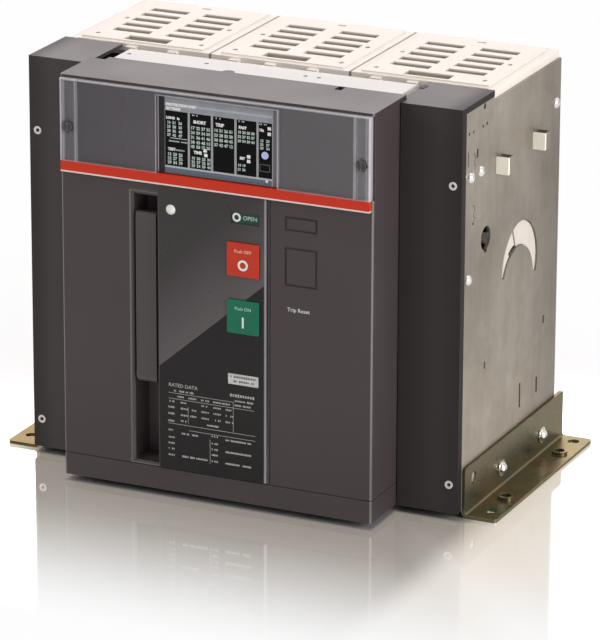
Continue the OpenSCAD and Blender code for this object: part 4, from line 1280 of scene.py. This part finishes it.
class BREAKER_OT_print_display(bpy.types.Operator):
    """Numbers, words and marks on the display"""

    bl_idname = "breaker.print_display"
    bl_label = "Display Marks"

    def execute(self, context):
        s = context.scene.breaker_print
        ink = printed("display_print", s.lit, 0.35)
        bright = printed("white_print", s.ink, 0.35)
        port = printed("port_outline", s.dark, 0.4)
        face, thick = SCREEN_FACE, s.thickness
        numbers = self.numbers(face, thick)
        new_piece("display_numbers", numbers, ink)
        words = words_mesh("display_words", DISPLAY_WORDS, face, thick, WORD_BOLD)
        new_piece("display_words", words, bright)
        small_print("display_marks", DISPLAY_STROKES, face, ink, height=1.4, seed=21)
        keys = rectangles_mesh("display_squares", (*DISPLAY_KEYS, DISPLAY_DASH), face, thick)
        new_piece("display_squares", keys, bright)
        outline = rectangles_mesh("display_port", PORT_SIDES, face, thick)
        new_piece("display_port", outline, port)
        frame_face = BEZEL_LOW.y + HEADER_DROP
        header = words_mesh("display_header", HEADER_WORDS, frame_face, thick, HEADER_BOLD)
        new_piece("display_header", header, bright)
        new_piece("display_lamp", self.lamp(frame_face), bright)
        return {"FINISHED"}

    @staticmethod
    def numbers(face, thick):
        """Two-figure numbers in rows and columns, from 12 up to 51."""
        meshes = []
        for columns, rows, height in DISPLAY_GRIDS:
            for row, z in enumerate(rows):
                for column, x in enumerate(columns):
                    number = str((7 * row + 5 * column + len(rows)) % 40 + 12)
                    place = (x * MM, z * MM)
                    meshes.append(text_mesh(
                        "digit", number, height * MM, place, face, thick, bold=NUMBER_BOLD
                    ))
        return join_meshes("display_numbers", meshes)

    @staticmethod
    def lamp(face):
        """Small lamp, narrower to the front, at the foot of the display's frame."""
        x, z = DISPLAY_LAMP
        behind, before, depth = LAMP_SIZE
        place = Matrix.Translation((x * MM, face, z * MM))
        bm = bmesh.new()
        bmesh.ops.create_cone(
            bm, cap_ends=True, segments=32, radius1=behind, radius2=before, depth=depth,
            matrix=place @ Matrix.Rotation(QUARTER_TURN, 4, "X"),
        )
        return finish_mesh("display_lamp", bm)


# signs below and captions above the middle of the push buttons
SIGN_DROP = 4.5 * MM
CAPTION_RISE = 6.8 * MM
# ring and word on the contact flag, from its left end, and the ring's two radii
FLAG_RING = 4.8 * MM
FLAG_WORD = 16.7 * MM
FLAG_RADII = (3.7 * MM, 2.1 * MM)
# print on the spring flag from its middle: left end, right end and height
SPRING_STROKES = ((-11.0, 10.5, 1.9), (-8.0, 9.0, -1.8))
# caption on the cover: middle across and height
COVER_CAPTION = (73.5 * MM, 176.6 * MM)


def front_middle(node):
    """Middle across, middle height and face of a node, as seen from the front."""
    low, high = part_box(node)
    return (low.x + high.x) / 2, (low.z + high.z) / 2, low.y


class BREAKER_OT_print_controls(bpy.types.Operator):
    """Captions and signs on the two push buttons, the two flags and the cover"""

    bl_idname = "breaker.print_controls"
    bl_label = "Control Prints"

    def execute(self, context):
        s = context.scene.breaker_print
        ink = printed("sign_print", s.ink)
        dark = printed("flag_print", s.dark)
        pink = printed("off_caption", s.pink)
        mint = printed("on_caption", s.mint)
        slot, thick = "white_line", s.thickness

        x, z, face = front_middle("push_off_button")
        bm = bmesh.new()
        add_ring(bm, (x, z - SIGN_DROP), s.ring, s.ring - s.ring_wall, face, thick)
        new_piece("off_ring", finish_mesh("off_ring", bm), ink, "off_button")
        place = (x, z + CAPTION_RISE)
        words = text_mesh("off_words", "Push OFF", s.caption, place, face, thick)
        new_piece("off_words", words, pink, "off_button")

        x, z, face = front_middle("push_on_button")
        half_bar, half_height = s.bar / 2, s.bar_height / 2
        foot, top = z - SIGN_DROP - half_height, z - SIGN_DROP + half_height
        bm = bmesh.new()
        add_mark(bm, x - half_bar, x + half_bar, foot, top, face, thick)
        new_piece("on_bar", finish_mesh("on_bar", bm), ink, "on_button")
        place = (x, z + CAPTION_RISE)
        words = text_mesh("on_words", "Push ON", s.caption, place, face, thick)
        new_piece("on_words", words, mint, "on_button")

        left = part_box("contact_flag")[0].x
        _, z, face = front_middle("contact_flag")
        bm = bmesh.new()
        add_ring(bm, (left + FLAG_RING, z), *FLAG_RADII, face, thick)
        new_piece("flag_ring", finish_mesh("flag_ring", bm), ink)
        place = (left + FLAG_WORD, z)
        words = text_mesh("flag_word", "OPEN", 3.4 * MM, place, face, thick)
        new_piece("flag_word", words, mint)

        x, z, face = front_middle("spring_flag")
        strokes = [
            (x / MM + start, x / MM + end, z / MM + rise) for start, end, rise in SPRING_STROKES
        ]
        small_print("spring_words", strokes, face, dark, height=2.0, seed=41, pitch=1.5)

        words = text_mesh("cover_caption", "Trip Reset", 3.2 * MM, COVER_CAPTION, FACE, thick)
        new_piece("cover_caption", words, ink)
        return {"FINISHED"}


# ---- small fittings ----


# how much smaller a wire screen is than the plate it lies on
SCREEN_MARGIN = 4 * MM


class BREAKER_OT_fit_chute_screens(bpy.types.Operator):
    """Wire screens that lie on the insulating plates in the slots of the arc chutes"""

    bl_idname = "breaker.fit_chute_screens"
    bl_label = "Chute Screens"

    def execute(self, context):
        s = context.scene.breaker_poles
        wires = plated("screen_wire", s.wire_colour, 0.45, 0.4)
        tree = wire_tree()
        for side in POLES:
            low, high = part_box("vent_grid_" + side)
            centre = ((low.x + high.x) / 2, (low.y + high.y) / 2, high.z + s.wire / 2)
            name = "chute_screen_" + side
            values = {
                "Width": high.x - low.x - SCREEN_MARGIN,
                "Depth": high.y - low.y - SCREEN_MARGIN,
                "Pitch": s.wire_pitch,
                "Wire": s.wire,
                "Material": wires,
            }
            mesh = run_tree(name, points_mesh(name + "_place", [centre]), tree, values)
            new_piece(name, mesh, wires)
        return {"FINISHED"}


# round fittings: radius and height in millimetres, and number of sides
SOCKET_SHADE_SIZE = (1.65, 0.2, 6)
MARK_SIZE = (0.75, 0.2, 10)
HIDDEN_SIZE = (4.4, 1.4, 24)
LOCK_SIZE = (4.5, 0.3, 24)
CHUTE_HOLE_SIZE = (2.35, 0.1, 20)
COVER_HOLE_SIZE = (1.95, 0.1, 20)
HEAD_SIDES = 32
# how far the sockets lie behind their screws' fronts, and the hidden heads beyond the wings
SOCKET_DROP = 1.2 * MM
HIDDEN_REACH = 1.2 * MM
# places on the side plates, in millimetres behind their front and above their foot
PLATE_HEADS = ((8.4, 278.3), (29.0, 278.4), (5.6, 194.2), (188.6, 294.0))
STAMPED_MARKS = tuple(
    (17.6 + 1.3 * math.sin(1.9 * k), rise + 2.1 * k)
    for rise in (283.5, 240.5) for k in range(7)
)
HIDDEN_HEAD = (20.0, 23.5)
LOCK_DISC = (42.5, 219.0)
# holes of a chute from its middle and from the front of its vent grid
CHUTE_HOLE_ACROSS = 47.5 * MM
CHUTE_HOLE_ROWS = (10 * MM, 63 * MM)
# holes of the terminal cover: places across, and how far behind its front
COVER_HOLES = (-118, -48, 40, 52)
COVER_HOLE_ROW = 22 * MM
# how far the holes of the chutes and the terminal cover lie below their highest edge
HOLE_DROP = 0.95 * MM
# mark on the right wing's tongue: left, right, front and back from the wing's front left
# edge, and foot and top from its top
TONGUE_MARK = (0.3 * MM, 4.6 * MM, 45 * MM, 54 * MM, -0.2 * MM, 0.4 * MM)


class BREAKER_OT_fit_small_parts(bpy.types.Operator):
    """Screw heads, dark discs of painted shade in sockets and holes, and dark marks, made by the
    tree for round fittings
    """

    bl_idname = "breaker.fit_small_parts"
    bl_label = "Small Fittings"

    def execute(self, context):
        s = context.scene.breaker_fitting
        self.tree = fitting_tree()
        # painted shade for sockets and holes, and ink for the dark marks
        self.dark = printed("dark_hole", s.hole_shade_and_marks, 0.6)
        self.bright = plated("bright_head", s.head, 0.16)
        for side in SIDES:
            self.sockets(side)
            self.plate_fittings(side, s)
        for side in POLES:
            self.chute_holes(side)
        self.tongue_mark()
        # dark discs in the terminal cover's holes: painted shade
        low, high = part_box("terminal_cover")
        places = [(x * MM, low.y + COVER_HOLE_ROW, high.z - HOLE_DROP) for x in COVER_HOLES]
        self.round("cover_holes", places, self.dark, COVER_HOLE_SIZE, FLAT)
        return {"FINISHED"}

    def sockets(self, side):
        """Dark six-sided discs in the sockets of the two wing screws, which face the front:
        painted shade.
        """
        low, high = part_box("wing_screws_" + side)
        x, rise = (low.x + high.x) / 2, (high.x - low.x) / 2
        places = [(x, low.y + SOCKET_DROP, z) for z in (low.z + rise, high.z - rise)]
        self.round("wing_sockets_" + side, places, self.dark, SOCKET_SHADE_SIZE, TO_FRONT)

    def plate_fittings(self, side, s):
        """Heads, stamped marks and a lock's disc on the outer face of a side plate."""
        low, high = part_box("wing_" + side)
        way = 1.0 if side == "right" else -1.0
        outer = way * max(abs(low.x), abs(high.x))
        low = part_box("side_plate_" + side)[0]

        def on_plate(*marks, beyond=0.0):
            x = outer + way * beyond
            return [(x, low.y + behind * MM, low.z + rise * MM) for behind, rise in marks]

        heads = on_plate(*PLATE_HEADS)
        size = (s.head_radius / MM, s.head_height / MM, HEAD_SIDES)
        self.round("plate_heads_" + side, heads, self.bright, size, TO_SIDE, domed=True)
        marks = on_plate(*STAMPED_MARKS)
        self.round("stamped_marks_" + side, marks, self.dark, MARK_SIZE, TO_SIDE)
        hidden = on_plate(HIDDEN_HEAD, beyond=HIDDEN_REACH)
        self.round("hidden_heads_" + side, hidden, self.bright, HIDDEN_SIZE, TO_SIDE)
        disc = on_plate(LOCK_DISC)
        self.round("lock_disc_" + side, disc, self.dark, LOCK_SIZE, TO_SIDE)

    def chute_holes(self, side):
        """Dark discs in the top of an arc chute: painted shade of its holes."""
        low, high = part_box("vent_grid_" + side)
        x, top = (low.x + high.x) / 2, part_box("arc_chute_" + side)[1].z - HOLE_DROP
        places = [
            (x + way * CHUTE_HOLE_ACROSS, low.y + row, top)
            for way in (-1, 1) for row in CHUTE_HOLE_ROWS
        ]
        self.round("chute_screws_" + side, places, self.dark, CHUTE_HOLE_SIZE, FLAT)

    def tongue_mark(self):
        """Dark mark that lies on the tongue of the right wing."""
        low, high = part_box("wing_right")
        left, right, front, back, foot, top = TONGUE_MARK
        bm = bmesh.new()
        add_block(bm, (low.x + left, low.y + front, high.z + foot),
                  (low.x + right, low.y + back, high.z + top))
        new_piece("tongue_mark", finish_mesh("tongue_mark", bm), self.dark)

    def round(self, name, places, material, size, turn, domed=False):
        """Discs or domed heads of one size."""
        radius, height, sides = size
        values = {
            "Radius": radius * MM, "Height": height * MM, "Sides": sides, "Turn": turn,
            "Domed": domed, "Material": material,
        }
        mesh = run_tree(name, points_mesh(name + "_places", places), self.tree, values)
        new_piece(name, mesh, material)


# ---- stage ----


WHITE = (1.0, 1.0, 1.0, 1.0)
# half the length of the floor's sides, in metres
FLOOR_REACH = 40.0
# what the lamps look at; the camera's place, its turns in radians and its lens in millimetres
HEART = (0.0, 0.0, 0.16)
CAMERA_PLACE = (1.5409, -3.3499, 1.3390)
AZIMUTH, ELEVATION, ROLL = 0.4317, 0.3222, 0.0036
LENS = 261.47
# lamps: name, setting of the power, width, depth, place and whether it is tinted
LAMPS = (
    ("lamp_front_left", "key", 1.6, 1.6, (-2.15, -1.95, 1.9), False),
    ("lamp_above", "top", 1.8, 1.8, (-0.2, 0.1, 2.3), True),
    ("lamp_right", "side", 1.4, 1.4, (2.8, -0.7, 1.1), False),
    ("lamp_behind", "back", 2.2, 1.0, (-1.2, 2.6, 1.5), True),
)


def aim_camera():
    """Camera that looks along the azimuth and down the elevation, in radians."""
    forward = Vector((
        -math.sin(AZIMUTH) * math.cos(ELEVATION),
        math.cos(AZIMUTH) * math.cos(ELEVATION),
        -math.sin(ELEVATION),
    ))
    right = Vector((math.cos(AZIMUTH), math.sin(AZIMUTH), 0.0))
    up = right.cross(forward)
    turned_right = right * math.cos(ROLL) + up * math.sin(ROLL)
    turned_up = -right * math.sin(ROLL) + up * math.cos(ROLL)
    turn = Matrix((turned_right, turned_up, -forward)).transposed()
    data = bpy.data.cameras.new("view")
    data.lens = LENS
    data.sensor_width = 36.0
    data.clip_end = 100.0
    camera = bpy.data.objects.new("view", data)
    camera.matrix_world = Matrix.Translation(CAMERA_PLACE) @ turn.to_4x4()
    bpy.context.scene.collection.objects.link(camera)
    bpy.context.scene.camera = camera


def add_lamp(name, power, width, depth, place, colour):
    """Soft rectangular lamp that looks at the middle of the object."""
    data = bpy.data.lights.new(name, "AREA")
    data.shape = "RECTANGLE"
    data.size, data.size_y = width, depth
    data.energy = power
    data.color = colour
    lamp = bpy.data.objects.new(name, data)
    lamp.location = place
    way = Vector(HEART) - Vector(place)
    lamp.rotation_euler = way.to_track_quat("-Z", "Y").to_euler()
    bpy.context.scene.collection.objects.link(lamp)


def floor_finish(s):
    """White floor that mirrors beside the object, and less with distance, with a painted warm
    shade beside it.
    """
    f = Finish("pale_floor")
    t = f.t
    x, y, _ = f.axes()

    def beyond(low, high):
        """How far a point of the floor lies outside a box, across and in all."""
        across = t.math("ABSOLUTE", t.math("SUBTRACT", x, (low.x + high.x) / 2))
        along = t.math("ABSOLUTE", t.math("SUBTRACT", y, (low.y + high.y) / 2))
        across = t.math("SUBTRACT", across, (high.x - low.x) / 2)
        along = t.math("SUBTRACT", along, (high.y - low.y) / 2)
        return across, t.math("MAXIMUM", across, along)

    # the matt floor, as the lamps light it
    cloud = t.noise(f.place, 600 * MM, 3.0)
    f.set(Base_Color=f.tones(cloud, s.floor, 0.985, 1.01), Roughness=0.6)
    f.set(Specular_IOR_Level=0.0)
    f.bump(t.noise(f.place, 10 * MM, 2.0), 0.01 * MM)
    lit = f.shader.outputs[0]

    # the same as the camera sees it: pale, with a painted warm shade beside the object that fades
    # out with distance and behind it, and a share of the shadow close to the object
    across, away = beyond(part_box("wing_left")[0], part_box("side_plate_right")[1])
    away = t.math("MINIMUM", away, beyond(COVER_LOW, COVER_HIGH)[1])
    behind = t.math("SUBTRACT", t.product(y, 0.9), t.product(x, 0.43))
    behind = t.ramp(behind, -20 * MM, 80 * MM, smooth=True)
    far = t.math("MAXIMUM", t.ramp(away, 0.0, 0.75 * s.mirror_reach, smooth=True), behind)
    pale = t.out("ShaderNodeEmission", {"Color": t.mix(far, linear(s.painted_floor_shade), WHITE)})
    shadow = t.ramp(away, 0.0, 1.5 * s.mirror_reach, s.shadow, 0.08, smooth=True)
    shadow = t.product(shadow, t.ramp(behind, 0.0, 1.0, 1.0, 0.6))
    pale = t.out("ShaderNodeMixShader", {0: shadow, 1: pale, 2: lit})
    seen = t.product(
        t.out("ShaderNodeLightPath", output="Is Camera Ray"),
        t.ramp(away, -3 * MM, 2 * MM, smooth=True),
    )
    matt = t.out("ShaderNodeMixShader", {0: seen, 1: lit, 2: pale})

    # the mirror, which fades with distance and is weaker beside the side plates
    gloss = t.out("ShaderNodeBsdfGlossy", {"Color": WHITE, "Roughness": s.polish})
    fade = t.product(
        t.ramp(away, 0.0, s.mirror_reach, s.mirror, 0.0, smooth=True),
        t.ramp(across, -10 * MM, 30 * MM, 1.0, s.mirror_side, smooth=True),
    )
    f.show(t.out("ShaderNodeMixShader", {0: fade, 1: matt, 2: gloss}))
    return f.material


def light_world(s):
    """Plain light from all round, seen white, and dimmer in gloss before the object."""
    world = bpy.data.worlds.new("studio")
    world.use_nodes = True
    bpy.context.scene.world = world
    t = Tree(world.node_tree)
    t.tree.nodes.clear()
    path = t.add("ShaderNodeLightPath").outputs
    way = t.add("ShaderNodeSeparateXYZ", {0: t.out("ShaderNodeTexCoord", output="Generated")})
    studio = t.ramp(way.outputs[1], -0.7, 0.1, s.dim, 1.0, smooth=True)
    clear = t.math("MAXIMUM", path["Is Glossy Ray"], path["Is Transmission Ray"])
    strength = t.math("MAXIMUM", t.product(clear, studio), path["Is Camera Ray"])
    strength = t.math("MAXIMUM", strength, s.world)
    tint = t.mix(path["Is Glossy Ray"], WHITE, linear(s.sky))
    sky = t.out("ShaderNodeBackground", {"Color": tint, "Strength": strength})
    t.add("ShaderNodeOutputWorld", {"Surface": sky})


class BREAKER_OT_stage(bpy.types.Operator):
    """Pale floor, soft lamps and the camera"""

    bl_idname = "breaker.stage"
    bl_label = "Stage"

    def execute(self, context):
        s = context.scene.breaker_stage
        bm = bmesh.new()
        bmesh.ops.create_grid(bm, x_segments=1, y_segments=1, size=FLOOR_REACH)
        mesh = to_mesh("floor", bm)
        mesh.materials.append(floor_finish(s))
        ground = bpy.data.objects.new("floor", mesh)
        context.scene.collection.objects.link(ground)
        light_world(s)
        for name, setting, width, depth, place, tinted in LAMPS:
            colour = s.warm if tinted else WHITE[:3]
            add_lamp(name, getattr(s, setting), width, depth, place, colour)
        aim_camera()
        context.scene.view_settings.view_transform = "Standard"
        return {"FINISHED"}


# ---- panel and registering ----


OPERATORS = (
    BREAKER_OT_finish_housing,
    BREAKER_OT_finish_metalwork,
    BREAKER_OT_finish_poles,
    BREAKER_OT_print_rating,
    BREAKER_OT_print_display,
    BREAKER_OT_print_controls,
    BREAKER_OT_fit_chute_screens,
    BREAKER_OT_fit_small_parts,
    BREAKER_OT_stage,
)
SETTINGS = {
    "breaker_housing": HousingSettings,
    "breaker_metal": MetalSettings,
    "breaker_poles": PoleSettings,
    "breaker_print": PrintSettings,
    "breaker_fitting": FittingSettings,
    "breaker_stage": StageSettings,
}


class BREAKER_PT_panel(bpy.types.Panel):
    """Lists the settings and the steps that dress the breaker"""

    bl_idname = "BREAKER_PT_panel"
    bl_label = "Air Circuit Breaker"
    bl_space_type = "VIEW_3D"
    bl_region_type = "UI"
    bl_category = "Breaker"

    def draw(self, context):
        for name in SETTINGS:
            box = self.layout.box()
            group = getattr(context.scene, name)
            for key in group.bl_rna.properties.keys():
                if key not in ("rna_type", "name"):
                    box.prop(group, key)
        column = self.layout.column()
        for operator in OPERATORS:
            column.operator(operator.bl_idname)


def register():
    for name, group in SETTINGS.items():
        bpy.utils.register_class(group)
        setattr(bpy.types.Scene, name, bpy.props.PointerProperty(type=group))
    for operator in OPERATORS:
        bpy.utils.register_class(operator)
    bpy.utils.register_class(BREAKER_PT_panel)


def unregister():
    bpy.utils.unregister_class(BREAKER_PT_panel)
    for operator in reversed(OPERATORS):
        bpy.utils.unregister_class(operator)
    for name, group in SETTINGS.items():
        delattr(bpy.types.Scene, name)
        bpy.utils.unregister_class(group)


def main():
    register()
    for operator in OPERATORS:
        group, name = operator.bl_idname.split(".")
        getattr(getattr(bpy.ops, group), name)()


if __name__ == "__main__":
    main()
